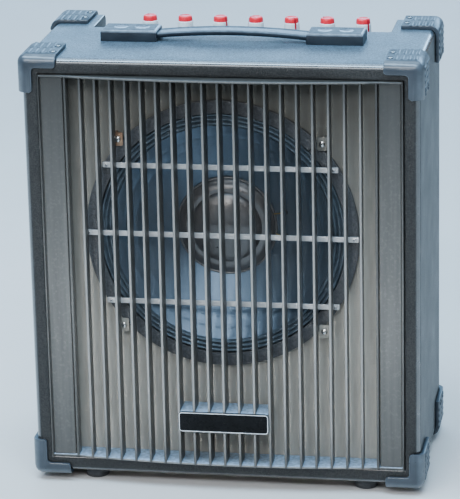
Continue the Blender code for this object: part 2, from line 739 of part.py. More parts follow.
def corner_mesh():
    """The protector of the left, front, top corner, about the cabinet's centre."""
    half_y, half_z = CABINET_DEPTH / 2, CABINET_HEIGHT / 2
    outer = box("corner_outer", (-HALF - CORNER_PROUD, -half_y - CORNER_PROUD,
                                 half_z + CORNER_PROUD - CORNER_Z),
                (-HALF - CORNER_PROUD + CORNER_X, -half_y - CORNER_PROUD + CORNER_Y,
                 half_z + CORNER_PROUD), None)

    def shown(mid, direction):
        faces = (near(mid.x, -HALF - CORNER_PROUD), near(mid.y, -half_y - CORNER_PROUD),
                 near(mid.z, half_z + CORNER_PROUD))
        return sum(faces) >= 2

    bevel_edges(outer, shown, EDGE_RADIUS + 0.002)
    inner = box("corner_inner", (-HALF - GAP, -half_y - GAP, -half_z),
                (HALF, half_y, half_z + GAP), None)

    def edge_of_cabinet(mid, direction):
        faces = (near(mid.x, -HALF - GAP), near(mid.y, -half_y - GAP), near(mid.z, half_z + GAP))
        return sum(faces) >= 2

    bevel_edges(inner, edge_of_cabinet, EDGE_RADIUS)
    cut(outer, inner)
    window = box("corner_window", (-HALF - CORNER_PROUD + CORNER_LEG, -half_y - 0.02, 0),
                 (0, -half_y + 0.005, half_z + CORNER_PROUD - CORNER_LEG_TOP), None)
    cut(outer, window)
    evaluated = outer.evaluated_get(bpy.context.evaluated_depsgraph_get())
    mesh = bpy.data.meshes.new_from_object(evaluated)
    mesh.name = "corner"
    mesh.materials.clear()
    mesh.materials.append(material("corner"))
    mesh.shade_smooth()
    mesh.set_sharp_from_angle(angle=math.radians(35))
    outer.hide_render = True
    outer.display_type = "WIRE"
    return mesh


def corners():
    mesh = corner_mesh()
    centre = Vector((0, (FRONT + BACK) / 2, (BASE + TOP) / 2))
    for vertical, up in (("top", 1), ("bottom", -1)):
        for facing, back in (("front", 1), ("rear", -1)):
            for side, right in (("left", 1), ("right", -1)):
                obj = bpy.data.objects.new(f"corner_{vertical}_{facing}_{side}", mesh)
                obj.location = centre
                obj.scale = (right, back, up)
                bpy.context.scene.collection.objects.link(obj)


def feet():
    profile = [(0, 0), (FOOT_RADIUS - 0.0020, 0), (FOOT_RADIUS - 0.0010, 0.0010),
               (FOOT_RADIUS, FOOT_HEIGHT - GAP), (0, FOOT_HEIGHT - GAP)]
    for name, x, place in (("foot_front_left", -FOOT_X, FOOT_INSET),
                           ("foot_front_right", FOOT_X, FOOT_INSET),
                           ("foot_rear_left", -FOOT_X, CABINET_DEPTH - FOOT_INSET),
                           ("foot_rear_right", FOOT_X, CABINET_DEPTH - FOOT_INSET)):
        turned(name, profile, "rubber", (x, depth(place), 0), 16)


clear_scene()
cabinet()
baffle()
back_panels()
grille()
guard_bars()
basket()
speaker_ring("speaker_gasket", [(0.1370, GASKET_FRONT), (SPEAKER_RADIUS, GASKET_FRONT),
                                (SPEAKER_RADIUS, 0.0204), (0.1370, 0.0204)], "gasket", 36)
surround()
cone()
motor()
clamps()
terminal_and_lead()
control_panel()
chassis()
knobs()
control_board()
jack_and_lamp()
power_switch()
mains_inlet()
transformer()
handle()
corners()
feet()
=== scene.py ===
"""The looks of the guitar amplifier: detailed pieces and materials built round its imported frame.

Metres, +Z up, in the frame of the CAD model: X across the front, +Y from the grille to the back."""

from math import cos, exp, pi, radians, sin, sqrt, tau

import bmesh
import bpy
from mathutils import Matrix, Vector


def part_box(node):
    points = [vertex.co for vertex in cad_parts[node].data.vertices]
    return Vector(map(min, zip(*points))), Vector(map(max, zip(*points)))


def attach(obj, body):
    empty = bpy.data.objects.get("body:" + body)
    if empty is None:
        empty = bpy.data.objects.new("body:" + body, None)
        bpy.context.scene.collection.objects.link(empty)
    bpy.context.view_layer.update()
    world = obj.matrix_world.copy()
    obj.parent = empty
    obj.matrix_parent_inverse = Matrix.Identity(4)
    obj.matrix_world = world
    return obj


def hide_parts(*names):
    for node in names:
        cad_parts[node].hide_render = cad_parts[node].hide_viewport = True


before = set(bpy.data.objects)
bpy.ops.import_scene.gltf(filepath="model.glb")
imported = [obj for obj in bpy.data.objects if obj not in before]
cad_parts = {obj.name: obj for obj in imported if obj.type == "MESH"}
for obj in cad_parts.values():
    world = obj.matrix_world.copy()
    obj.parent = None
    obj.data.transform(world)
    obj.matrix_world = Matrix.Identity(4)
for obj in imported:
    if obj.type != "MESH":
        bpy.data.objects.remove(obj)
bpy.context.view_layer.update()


def middle(node):
    """The centre of a CAD node's box."""
    low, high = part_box(node)
    return (low + high) / 2


# Sizes that the CAD model fixes
FRONT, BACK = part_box("cabinet_right")[0].y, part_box("cabinet_right")[1].y
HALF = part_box("cabinet_right")[1].x
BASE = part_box("cabinet_bottom")[0].z
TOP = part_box("cabinet_top")[1].z
WALL = 0.017
EDGE = 0.007
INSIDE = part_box("baffle_board")[1].x
FLOOR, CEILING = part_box("baffle_board")[0].z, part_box("baffle_board")[1].z
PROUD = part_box("corner_top_front_right")[1].x - HALF
SPEAKER = middle("speaker_gasket")
SPEAKER.y = FRONT
PANEL_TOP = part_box("control_panel")[1].z
ROW = middle("knob_4").y
HANDLE_Y = middle("handle_strap").y
CENTRE = Vector((0, (FRONT + BACK) / 2, (BASE + TOP) / 2))

SLATS = 21
SLAT_PITCH = 0.0169
SLAT_SHIFT = 0.0004
SLAT_THICKNESS = 0.0027
SLAT_REAR = 0.012
GRILLE_REAR = 0.0234
GRILLE_SIDE_FRONT = -0.0025
GRILLE_BOW = 0.0115
SLAT_SPAN = SLAT_PITCH * (SLATS - 1) / 2
CONE_RIM, CONE_NECK = 0.122, 0.0198
POINTERS = (-150, -118, 59, -92, 38, -128, 48)
CORNER_SIZE = (0.044, 0.060, 0.043)


# Materials

class Shader:
    """A material whose node tree is written one node at a time."""

    def __init__(self, name, roughness=0.5, metallic=0.0, **sockets):
        self.material = bpy.data.materials.new(name)
        self.material.use_nodes = True
        self.tree = self.material.node_tree
        self.surface = self.tree.nodes["Principled BSDF"]
        values = {"Roughness": roughness, "Metallic": metallic}
        values.update({key.replace("_", " "): value for key, value in sockets.items()})
        for key, value in values.items():
            self.surface.inputs[key].default_value = value
        self.place = self.node("ShaderNodeTexCoord").outputs["Object"]
        self.colour = None
        self.normal = None

    def node(self, kind, inputs=None, **settings):
        made = self.tree.nodes.new(kind)
        for key, value in settings.items():
            setattr(made, key, value)
        for key, value in (inputs or {}).items():
            if isinstance(value, bpy.types.NodeSocket):
                self.tree.links.new(value, made.inputs[key])
            else:
                made.inputs[key].default_value = value
        return made

    def link(self, value, socket):
        self.tree.links.new(value, self.surface.inputs[socket])

    def stretched(self, scale):
        return self.node("ShaderNodeMapping", {"Vector": self.place, "Scale": scale}).outputs["Vector"]

    def noise(self, scale, detail, place=None):
        inputs = {"Vector": place or self.place, "Scale": scale, "Detail": detail, "Roughness": 0.55}
        return self.node("ShaderNodeTexNoise", inputs).outputs["Fac"]

    def cells(self, scale):
        return self.node("ShaderNodeTexVoronoi", {"Vector": self.place, "Scale": scale},
                         feature="SMOOTH_F1").outputs["Distance"]

    def wave(self, scale, direction, distortion=0.0):
        inputs = {"Vector": self.place, "Scale": scale, "Distortion": distortion}
        return self.node("ShaderNodeTexWave", inputs, bands_direction=direction).outputs["Fac"]

    def add(self, first, second):
        return self.node("ShaderNodeMath", {0: first, 1: second}).outputs[0]

    def times(self, first, second):
        return self.node("ShaderNodeMath", {0: first, 1: second}, operation="MULTIPLY").outputs[0]

    def band(self, value, low, high, to_low=0.0, to_high=1.0):
        """Stretches low to high over to_low to to_high, and holds what lies beyond."""
        return self.node("ShaderNodeMapRange", {"Value": value, "From Min": low, "From Max": high,
                                                "To Min": to_low, "To Max": to_high}).outputs[0]

    def colours(self, value, *stops):
        """A ramp on the base colour, with (place, colour) stops."""
        ramp = self.node("ShaderNodeValToRGB", {"Fac": value})
        elements = ramp.color_ramp.elements
        while len(elements) < len(stops):
            elements.new(0.5)
        for element, (place, colour) in zip(elements, stops):
            element.position = place
            element.color = (*colour, 1.0)
        self.colour = ramp.outputs["Color"]
        self.link(self.colour, "Base Color")

    def tint(self, colour, amount):
        """Lays a flat colour over the colour so far, where the amount is high."""
        inputs = {"Factor": amount, "A": self.colour, "B": (*colour, 1.0)}
        self.colour = self.node("ShaderNodeMix", inputs, data_type="RGBA").outputs["Result"]
        self.link(self.colour, "Base Color")

    def gloss(self, value, low, high, polish=None):
        """Roughness from a texture; polish, where given, takes some of it away."""
        rough = self.band(value, 0.25, 0.75, low, high)
        if polish:
            rough = self.times(rough, self.band(polish, 0.0, 1.0, 1.0, 0.38))
        self.link(rough, "Roughness")

    def bump(self, height, strength, distance):
        inputs = {"Height": height, "Strength": strength, "Distance": distance}
        if self.normal:
            inputs["Normal"] = self.normal
        self.normal = self.node("ShaderNodeBump", inputs).outputs["Normal"]
        self.link(self.normal, "Normal")

    def fade(self, low, high):
        """0 at the first height and 1 at the second."""
        place = self.node("ShaderNodeSeparateXYZ", {"Vector": self.place})
        return self.band(place.outputs["Z"], low, high)

    def upward(self):
        """1 on faces that look up, 0 on upright ones."""
        normal = self.node("ShaderNodeTexCoord").outputs["Normal"]
        return self.band(self.node("ShaderNodeSeparateXYZ", {"Vector": normal}).outputs["Z"], 0.5, 0.9)

    def wear_and_highlight(self):
        """What mark() wrote on the vertices."""
        return self.node("ShaderNodeAttribute", attribute_name="edge").outputs["Fac"]


def vinyl():
    """Pebble-grained vinyl cloth, stretched smooth and a little scuffed along the edges, with a painted
    bluish sky reflection on faces that look up.
    """
    s = Shader("vinyl", Specular_IOR_Level=0.36, Coat_Roughness=0.12, Coat_IOR=1.9)
    edge = s.wear_and_highlight()
    broad = s.noise(26, 3)
    s.colours(s.add(s.noise(800, 2), s.band(broad, 0.3, 0.7, -0.07, 0.07)),
              (0.36, (0.007, 0.007, 0.007)), (0.66, (0.03, 0.029, 0.028)))
    s.tint((0.11, 0.115, 0.12), s.times(edge, s.band(s.noise(110, 4), 0.5, 0.72, 0.0, 0.5)))
    # Painted bluish sky reflection, speckled, on faces that look up.
    s.tint((0.095, 0.145, 0.19), s.times(s.upward(), s.band(s.noise(700, 3), 0.38, 0.62, 0.15, 1.0)))
    s.gloss(broad, 0.42, 0.54, edge)
    s.link(s.band(edge, 0.3, 1.0), "Coat Weight")
    flat = s.band(edge, 0.0, 0.8, 1.0, 0.06)
    s.bump(s.times(s.cells(640), flat), 0.5, 0.0006)
    s.bump(s.times(s.noise(1500, 2), flat), 0.15, 0.0002)
    return s.material


def chipboard():
    s = Shader("chipboard", 0.85)
    flakes = s.node("ShaderNodeTexVoronoi", {"Vector": s.stretched((1, 1, 1.6)), "Scale": 210})
    grey = s.node("ShaderNodeRGBToBW", {"Color": flakes.outputs["Color"]}).outputs[0]
    s.colours(s.add(grey, s.band(s.noise(60, 4), 0.3, 0.7, -0.15, 0.15)),
              (0.15, (0.16, 0.1, 0.055)), (0.5, (0.3, 0.2, 0.115)), (0.9, (0.42, 0.3, 0.18)))
    s.bump(s.noise(420, 3), 0.4, 0.0005)
    return s.material


def grille_plastic():
    """Satin grey moulding with painted shade darkening it towards the top and a little at the very
    bottom, a painted highlight on the slats' and rails' noses, and a painted bluish sky reflection on the
    low ledges.
    """
    s = Shader("grille_plastic")
    streaks = s.noise(60, 4, s.stretched((3.0, 3.0, 0.12)))
    s.colours(streaks, (0.3, (0.085, 0.08, 0.073)), (0.7, (0.138, 0.13, 0.119)))
    s.tint((0.3, 0.28, 0.25), s.band(s.noise(300, 4), 0.52, 0.78, 0.0, 0.3))
    # Painted shade: the moulding darkens towards the top, and a little towards the very bottom.
    upper = s.fade(0.22, 0.5)
    s.tint((0.013, 0.0125, 0.011), s.add(s.times(upper, 0.95), s.times(s.fade(0.17, 0.02), 0.55)))
    # Painted highlight: the marked noses are lightened, less so under the painted shade at the top.
    nose_highlight = s.times(s.band(streaks, 0.3, 0.7, 0.55, 0.85), s.band(upper, 0.0, 1.0, 1.0, 0.3))
    s.tint((0.37, 0.355, 0.335), s.times(s.wear_and_highlight(), nose_highlight))
    # Painted bluish sky reflection on the upward-facing ledges near the bottom.
    ledge_sky_reflection = s.times(s.upward(), s.band(s.noise(240, 4), 0.35, 0.65, 0.45, 0.95))
    s.tint((0.4, 0.55, 0.72), s.times(ledge_sky_reflection, s.fade(0.2, 0.12)))
    s.gloss(s.noise(120, 3), 0.3, 0.44)
    s.bump(s.noise(1300, 2), 0.15, 0.0002)
    return s.material


def baffle_paint():
    """Olive-grey matt paint brushed on board, with painted shade darkening it towards the top."""
    s = Shader("baffle_paint")
    s.colours(s.noise(26, 5, s.stretched((6.0, 6.0, 0.8))),
              (0.3, (0.34, 0.314, 0.27)), (0.7, (0.47, 0.438, 0.38)))
    # Painted shade: darker towards the top, where the cabinet's top shades the recess.
    s.tint((0.046, 0.044, 0.036), s.times(s.fade(0.15, 0.47), 0.86))
    s.gloss(s.noise(90, 3), 0.62, 0.85)
    s.bump(s.noise(750, 4), 0.3, 0.0004)
    s.bump(s.cells(260), 0.1, 0.0004)
    return s.material


def coated(name, low, high, rough, colour, gloss, grain, bump, spread=0.2, metallic=0.0, **sockets):
    """Colour, gloss and grain that vary by noises, each with its scale and detail."""
    s = Shader(name, metallic=metallic, **sockets)
    s.colours(s.noise(*colour), (0.5 - spread, low), (0.5 + spread, high))
    s.gloss(s.noise(*gloss), *rough)
    s.bump(s.noise(*grain), *bump)
    return s


def plastic(name, low, high, rough=(0.35, 0.5), grain=1400, depth=0.0002, edge_wear_and_highlight=None, **sockets):
    """Moulded plastic; where an edge colour is given, the marked edges are scuffed paler and given a
    painted bluish highlight.
    """
    s = coated(name, low, high, rough, (34, 4), (160, 3), (grain, 2), (0.22, depth), **sockets)
    if edge_wear_and_highlight:
        s.tint(edge_wear_and_highlight, s.times(s.wear_and_highlight(), s.band(s.noise(90, 3), 0.35, 0.65, 0.35, 0.9)))
        s.link(s.band(s.wear_and_highlight(), 0.0, 1.0, 0.0, 0.6), "Coat Weight")
    return s.material


def enamel(name, low, high, rough=(0.3, 0.45), metallic=0.0, orange_peel=520):
    return coated(name, low, high, rough, (70, 4), (240, 3), (orange_peel, 2), (0.18, 0.0003), 0.15,
                  metallic, Coat_Weight=0.15, Coat_Roughness=0.25).material


def rubber(name, low, high, rough):
    return coated(name, low, high, rough, (90, 4), (200, 3), (1100, 3), (0.3, 0.0003)).material


def knob_plastic(name, low, high):
    return coated(name, low, high, (0.26, 0.4), (240, 3), (500, 3), (1700, 2), (0.12, 0.0002),
                  Subsurface_Weight=0.08, Subsurface_Scale=0.002, Specular_IOR_Level=0.4).material


def metal(name, low, high, rough=(0.22, 0.42)):
    """Plated metal with faint rolling lines."""
    s = Shader(name, metallic=1.0)
    lines = s.noise(180, 4, s.stretched((1, 1, 18)))
    s.colours(lines, (0.3, low), (0.7, high))
    s.gloss(s.noise(60, 4), *rough)
    s.bump(lines, 0.08, 0.0002)
    return s.material


def felt():
    s = Shader("felt", 0.92, Sheen_Weight=0.25, Sheen_Roughness=0.6)
    s.colours(s.noise(420, 5), (0.32, (0.038, 0.039, 0.042)), (0.68, (0.09, 0.092, 0.098)))
    s.bump(s.noise(1600, 3), 0.7, 0.0006)
    return s.material


def doped_cloth():
    """Woven cloth under glossy dope, as on a pleated speaker edge."""
    s = Shader("doped_cloth", Specular_IOR_Level=1.0, Specular_Tint=(0.66, 0.86, 1.0, 1.0))
    s.colours(s.noise(150, 4), (0.3, (0.05, 0.062, 0.074)), (0.7, (0.095, 0.116, 0.136)))
    s.gloss(s.noise(200, 3), 0.38, 0.5)
    s.bump(s.times(s.wave(420, "X"), s.wave(420, "Z")), 0.2, 0.0002)
    return s.material


def cone_paper(name, low, high, rough, shine, sheen=(1.0, 1.0, 1.0, 1.0)):
    """Pressed paper with short fibres and a slight shine."""
    s = Shader(name, Specular_IOR_Level=shine, Specular_Tint=sheen, IOR=1.8, Coat_Weight=0.25,
               Coat_Roughness=0.24)
    fibres = s.noise(900, 5, s.stretched((1.0, 0.5, 2.2)))
    s.colours(s.add(fibres, s.band(s.noise(22, 3), 0.3, 0.7, -0.1, 0.1)), (0.34, low), (0.66, high))
    s.gloss(s.noise(140, 4), *rough)
    s.bump(fibres, 0.16, 0.0002)
    s.bump(s.noise(70, 3), 0.06, 0.0012)
    return s.material


def layered(name, direction, scale, distortion, low, high, depth, roughness, metallic):
    """Wire turns or stacked sheets, seen as fine parallel bands."""
    s = Shader(name, roughness, metallic)
    bands = s.wave(scale, direction, distortion)
    s.colours(bands, low, high)
    s.bump(bands, *depth)
    return s.material


def floor_paint():
    s = Shader("floor_paint", 0.8)
    s.colours(s.noise(3.0, 3), (0.3, (0.7, 0.67, 0.64)), (0.7, (0.74, 0.71, 0.68)))
    s.bump(s.noise(60, 3), 0.05, 0.001)
    return s.material


VINYL = vinyl()
CHIPBOARD = chipboard()
GRILLE = grille_plastic()
BAFFLE = baffle_paint()
BAR = enamel("bar_paint", (0.44, 0.43, 0.42), (0.6, 0.59, 0.58), (0.28, 0.42), 0.2)
BLACK_STEEL = enamel("black_steel", (0.018, 0.018, 0.02), (0.04, 0.04, 0.044))
PANEL = enamel("panel_black", (0.016, 0.017, 0.019), (0.034, 0.036, 0.04), (0.38, 0.52), 0.0, 1400)
ZINC = metal("zinc", (0.42, 0.42, 0.43), (0.62, 0.62, 0.63))
NICKEL = metal("nickel", (0.6, 0.59, 0.57), (0.8, 0.79, 0.77), (0.16, 0.3))
BRASS = metal("brass", (0.52, 0.36, 0.14), (0.74, 0.55, 0.24))
FERRITE = enamel("ferrite", (0.045, 0.045, 0.048), (0.085, 0.085, 0.09), (0.6, 0.8))
FELT = felt()
CLOTH = doped_cloth()
CONE = cone_paper("cone_paper", (0.034, 0.039, 0.043), (0.062, 0.07, 0.077), (0.36, 0.46), 1.0,
                  (0.45, 0.7, 1.0, 1.0))
CAP = cone_paper("cap_paper", (0.03, 0.028, 0.028), (0.058, 0.054, 0.053), (0.26, 0.36), 0.5)
# Corner and plate plastic: marked edges scuffed paler, with a painted bluish highlight; handle plastic:
# marked faces carry a painted bluish sky reflection.
CORNER = plastic("corner_plastic", (0.02, 0.026, 0.034), (0.042, 0.052, 0.065), (0.26, 0.36), 900,
                 0.0001, (0.08, 0.102, 0.125), Coat_Roughness=0.15, Specular_IOR_Level=0.4)
PLATE = plastic("corner_plate", (0.008, 0.012, 0.018), (0.02, 0.028, 0.038), (0.4, 0.52), 600,
                0.0002, (0.075, 0.105, 0.135), Coat_Roughness=0.2, Specular_IOR_Level=0.15)
HANDLE = plastic("handle_rubber", (0.01, 0.015, 0.022), (0.022, 0.031, 0.041), (0.34, 0.46), 500,
                 0.0001, (0.2, 0.27, 0.34), Coat_Roughness=0.15, Specular_IOR_Level=0.15)
TARNISHED = enamel("tarnished_clip", (0.22, 0.12, 0.07), (0.42, 0.27, 0.17), (0.3, 0.5), 0.5)
BLACK = plastic("black_plastic", (0.014, 0.014, 0.015), (0.03, 0.03, 0.032), (0.28, 0.42))
BADGE = plastic("badge_black", (0.003, 0.003, 0.003), (0.007, 0.007, 0.008), (0.22, 0.34),
                Specular_IOR_Level=0.1)
RED = knob_plastic("knob_red", (0.78, 0.012, 0.03), (0.92, 0.026, 0.05))
DEEP_RED = knob_plastic("pointer_red", (0.36, 0.004, 0.016), (0.52, 0.01, 0.028))
WHITE = knob_plastic("knob_white", (0.7, 0.73, 0.76), (0.84, 0.86, 0.88))
PRINT = plastic("white_print", (0.62, 0.63, 0.64), (0.76, 0.77, 0.78), (0.45, 0.6))
LENS = knob_plastic("lens_red", (0.4, 0.004, 0.004), (0.62, 0.012, 0.008))
BOARD_GREEN = plastic("board_green", (0.01, 0.075, 0.028), (0.022, 0.125, 0.048), (0.25, 0.4))
COPPER = layered("winding_wire", "Z", 260.0, 0.6, (0.1, (0.2, 0.075, 0.03)), (0.8, (0.62, 0.28, 0.13)),
                 (0.6, 0.0005), 0.35, 0.9)
CORE = layered("laminations", "Y", 330.0, 0.4, (0.1, (0.03, 0.03, 0.032)), (0.9, (0.13, 0.13, 0.135)),
               (0.5, 0.0004), 0.5, 0.6)
TAPE = plastic("yellow_tape", (0.62, 0.46, 0.08), (0.74, 0.57, 0.13), (0.3, 0.45))
RUBBER = rubber("rubber", (0.02, 0.021, 0.023), (0.045, 0.047, 0.05), (0.55, 0.75))
WIRE_RED = plastic("wire_red", (0.42, 0.02, 0.015), (0.58, 0.04, 0.03), (0.35, 0.5))
WIRE_BLACK = rubber("wire_black", (0.014, 0.014, 0.015), (0.028, 0.028, 0.03), (0.4, 0.55))


# Mesh tools

def depth(distance):
    """The Y of a distance behind the cabinet's front edge."""
    return FRONT + distance


def mm(*pairs):
    """Pairs of millimetres as metres."""
    return [(a / 1000, b / 1000) for a, b in pairs]


def new_object(name, bm, materials):
    """An object from a bmesh, which is used up."""
    bmesh.ops.recalc_face_normals(bm, faces=bm.faces)
    mesh = bpy.data.meshes.new(name)
    bm.to_mesh(mesh)
    bm.free()
    for material in materials:
        mesh.materials.append(material)
    obj = bpy.data.objects.new(name, mesh)
    bpy.context.scene.collection.objects.link(obj)
    return obj


def shade(obj, angle):
    """Smooth shading, broken at edges sharper than the angle."""
    obj.data.shade_smooth()
    obj.data.set_sharp_from_angle(angle=radians(angle))


def make(name, bm, materials, slot, *nodes, body="cabinet", angle=35):
    """Turns a bmesh into a piece that rides on a CAD body and may stand for CAD nodes."""
    obj = new_object(name, bm, materials)
    shade(obj, angle)
    if nodes:
        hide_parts(*nodes)
    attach(obj, body)
    return obj


def grid(bm, rows, closed=False, wrap=False, mat=0):
    """Quads over rows of points. closed joins each row's ends; wrap joins the last row to the first."""
    verts = [[bm.verts.new(p) for p in row] for row in rows]
    width = len(rows[0])
    for i in range(len(rows) if wrap else len(rows) - 1):
        first, second = verts[i], verts[(i + 1) % len(rows)]
        for j in range(width if closed else width - 1):
            k = (j + 1) % width
            bm.faces.new((first[j], first[k], second[k], second[j])).material_index = mat
    return verts


def loft(bm, sections, mat=0):
    """A solid skin over closed sections, with both ends capped."""
    verts = grid(bm, sections, closed=True, mat=mat)
    bm.faces.new(verts[0]).material_index = mat
    bm.faces.new(list(reversed(verts[-1]))).material_index = mat


def lathe(bm, profile, centre, axis="Y", steps=96, mat=0, start=0.0, sweep=tau):
    """A closed (radius, height) profile turned about an axis through the centre."""
    whole = abs(sweep - tau) < 1e-9
    count = steps if whole else steps + 1
    rows = []
    for radius, height in profile:
        row = []
        for i in range(count):
            angle = start + sweep * i / steps
            a, b = max(radius, 2e-6) * cos(angle), max(radius, 2e-6) * sin(angle)
            row.append(Vector(centre) + Vector((a, height, b) if axis == "Y" else (a, b, height)))
        rows.append(row)
    verts = grid(bm, rows, closed=whole, wrap=True, mat=mat)
    if not whole:
        for end in (0, -1):
            bm.faces.new([row[end] for row in verts]).material_index = mat


def cuboid(bm, matrix, mat=0):
    """A unit cube put in place by a matrix."""
    verts = bmesh.ops.create_cube(bm, size=1, matrix=matrix)["verts"]
    for face in {f for v in verts for f in v.link_faces}:
        face.material_index = mat
    return list({e for v in verts for e in v.link_edges})


def between(low, high):
    """The matrix that stretches a unit cube from one corner to the other."""
    return Matrix.Translation((low + high) / 2) @ Matrix.Diagonal((*(high - low), 1))


def round_off(bm, edges, radius, segments=2):
    bmesh.ops.bevel(bm, geom=edges, offset=radius, segments=segments, profile=0.5, affect="EDGES")


def block(bm, low, high, radius=0.0005, segments=2, mat=0):
    """A box with every edge rounded."""
    round_off(bm, cuboid(bm, between(Vector(low), Vector(high)), mat), radius, segments)


def slab(bm, outline, axis, low, high, radius=0.0, segments=2, mat=0):
    """A prism over an outline, with the edges of both its faces rounded."""
    place = {"X": lambda a, b, h: (h, a, b), "Y": lambda a, b, h: (a, h, b),
             "Z": lambda a, b, h: (a, b, h)}[axis]
    bottom = [bm.verts.new(place(a, b, low)) for a, b in outline]
    top = [bm.verts.new(place(a, b, high)) for a, b in outline]
    faces = [bm.faces.new(bottom), bm.faces.new(list(reversed(top)))]
    rims = [e for f in faces for e in f.edges]
    for i in range(len(outline)):
        j = (i + 1) % len(outline)
        faces.append(bm.faces.new((bottom[i], bottom[j], top[j], top[i])))
    for face in faces:
        face.material_index = mat
    if radius:
        round_off(bm, rims, radius, segments)


def arc(centre, radius, start, end, steps=6):
    """Points along an arc between two angles in degrees."""
    angles = [radians(start + (end - start) * k / steps) for k in range(steps + 1)]
    return [(centre[0] + radius * cos(a), centre[1] + radius * sin(a)) for a in angles]


def rounded(width, height, radius, centre=(0, 0), steps=5):
    """The outline of a rectangle with rounded corners."""
    points = []
    for sx, sy, start in ((1, 1, 0), (-1, 1, 90), (-1, -1, 180), (1, -1, 270)):
        corner = (centre[0] + sx * (width / 2 - radius), centre[1] + sy * (height / 2 - radius))
        points += arc(corner, radius, start, start + 90, steps)
    return points


def mirrored(half):
    """A closed outline from its right half."""
    return half + [(-a, b) for a, b in reversed(half) if a]


def stamp(bm, build, matrix):
    """Builds something at the origin, along +Z, and puts it in place."""
    part = bmesh.new()
    build(part)
    bmesh.ops.transform(part, matrix=matrix, verts=part.verts)
    mesh = bpy.data.meshes.new("stamp")
    part.to_mesh(mesh)
    part.free()
    bm.from_mesh(mesh)
    bpy.data.meshes.remove(mesh)


def facing(direction, place):
    """The matrix that turns +Z to a direction and moves to a place."""
    turn = Vector(direction).to_track_quat("Z", "Y").to_matrix().to_4x4()
    return Matrix.Translation(place) @ turn


def screw(bm, radius, direction, place, metal=1, washer=False):
    """A domed cross-head screw; the dark cross has the material after the metal's."""
    def build(part):
        profile = [(0, 0), (0.98, 0), (1, 0.16), (0.9, 0.42), (0.62, 0.6), (0.3, 0.67), (0, 0.68)]
        lathe(part, [(radius * r, radius * h) for r, h in profile], (0, 0, 0), "Z", 24, metal)
        for turn in (0.4, 0.4 + pi / 2):
            arm = Matrix.Translation((0, 0, radius * 0.6)) @ Matrix.Rotation(turn, 4, "Z")
            size = Matrix.Diagonal((radius * 0.92, radius * 0.2, radius * 0.2, 1))
            cuboid(part, arm @ size, metal + 1)
        if washer:
            lathe(part, [(radius * 1.5, -0.0004), (radius * 1.5, 0.0002), (radius * 1.3, 0.0008),
                         (radius * 0.8, 0.0009), (radius * 0.8, -0.0004)], (0, 0, 0), "Z", 28, metal)
    stamp(bm, build, facing(direction, place))


def stud(bm, profile, direction, place, steps):
    """A small turned piece in the second material, standing on a surface."""
    stamp(bm, lambda part: lathe(part, profile, (0, 0, 0), "Z", steps, 1), facing(direction, place))


def smooth_points(route, count):
    """Points along the Catmull-Rom curve through the route."""
    route = [Vector(p) for p in route]
    points = [route[0] * 2 - route[1], *route, route[-1] * 2 - route[-2]]
    spans, found = len(route) - 1, []
    for i in range(count + 1):
        place = i / count * spans
        k = min(int(place), spans - 1)
        t = place - k
        a, b, c, d = points[k:k + 4]
        found.append(0.5 * (2 * b + (c - a) * t + (2 * a - 5 * b + 4 * c - d) * t ** 2
                            + (3 * b - a - 3 * c + d) * t ** 3))
    return found


def tube(bm, points, radius, sides=12, mat=0):
    """A round tube with capped ends along the points."""
    rows, normal = [], None
    for i, point in enumerate(points):
        ahead = points[min(i + 1, len(points) - 1)] - points[max(i - 1, 0)]
        ahead.normalize()
        if normal is None:
            normal = ahead.orthogonal().normalized()
        normal = (normal - ahead * normal.dot(ahead)).normalized()
        other = ahead.cross(normal)
        rows.append([point + radius * (normal * cos(tau * k / sides) + other * sin(tau * k / sides))
                     for k in range(sides)])
    loft(bm, rows, mat)


def mark(obj, rule):
    """Writes a rule's value, held between 0 and 1, on every vertex, to mark scuffed edges and painted
    highlights.
    """
    values = obj.data.attributes.new("edge", "FLOAT", "POINT")
    for vertex in obj.data.vertices:
        values.data[vertex.index].value = min(1.0, max(0.0, rule(vertex)))


def mark_edges(obj):
    """Marks the rounded edges and leaves the flats."""
    mark(obj, lambda vertex: (0.995 - max(abs(c) for c in vertex.normal)) * 9)


def carve(obj, cutters, bevel=None):
    """Cuts an object by others, rounds it by (width, segments, angle) and removes the cutters."""
    for cutter in cutters:
        modifier = obj.modifiers.new("cut", "BOOLEAN")
        modifier.operation = "DIFFERENCE"
        modifier.object = cutter
        modifier.solver = "EXACT"
    if bevel:
        modifier = obj.modifiers.new("soften", "BEVEL")
        modifier.width, modifier.segments = bevel[:2]
        modifier.limit_method = "ANGLE"
        modifier.angle_limit = radians(bevel[2])
        modifier.use_clamp_overlap = True
    graph = bpy.context.evaluated_depsgraph_get()
    mesh = bpy.data.meshes.new_from_object(obj.evaluated_get(graph))
    obj.modifiers.clear()
    obj.data = mesh
    for cutter in cutters:
        bpy.data.objects.remove(cutter)


# Cabinet

def cabinet_ring(inset, y):
    """One loop of points round the cabinet, this far in from its outside."""
    across, low, high = HALF - inset, BASE + inset, TOP - inset
    radius = max(EDGE - inset, 0.0004)
    arcs = []
    for cx, cz, start in ((across - radius, high - radius, 0), (radius - across, high - radius, 90),
                          (radius - across, low + radius, 180), (across - radius, low + radius, 270)):
        arcs.append([Vector((a, y, b)) for a, b in arc((cx, cz), radius, start, start + 90)])
    points = []
    for i, bend in enumerate(arcs):
        end = arcs[(i + 1) % 4][0]
        points += bend + [bend[-1].lerp(end, k / 14) for k in range(1, 14)]
    return points


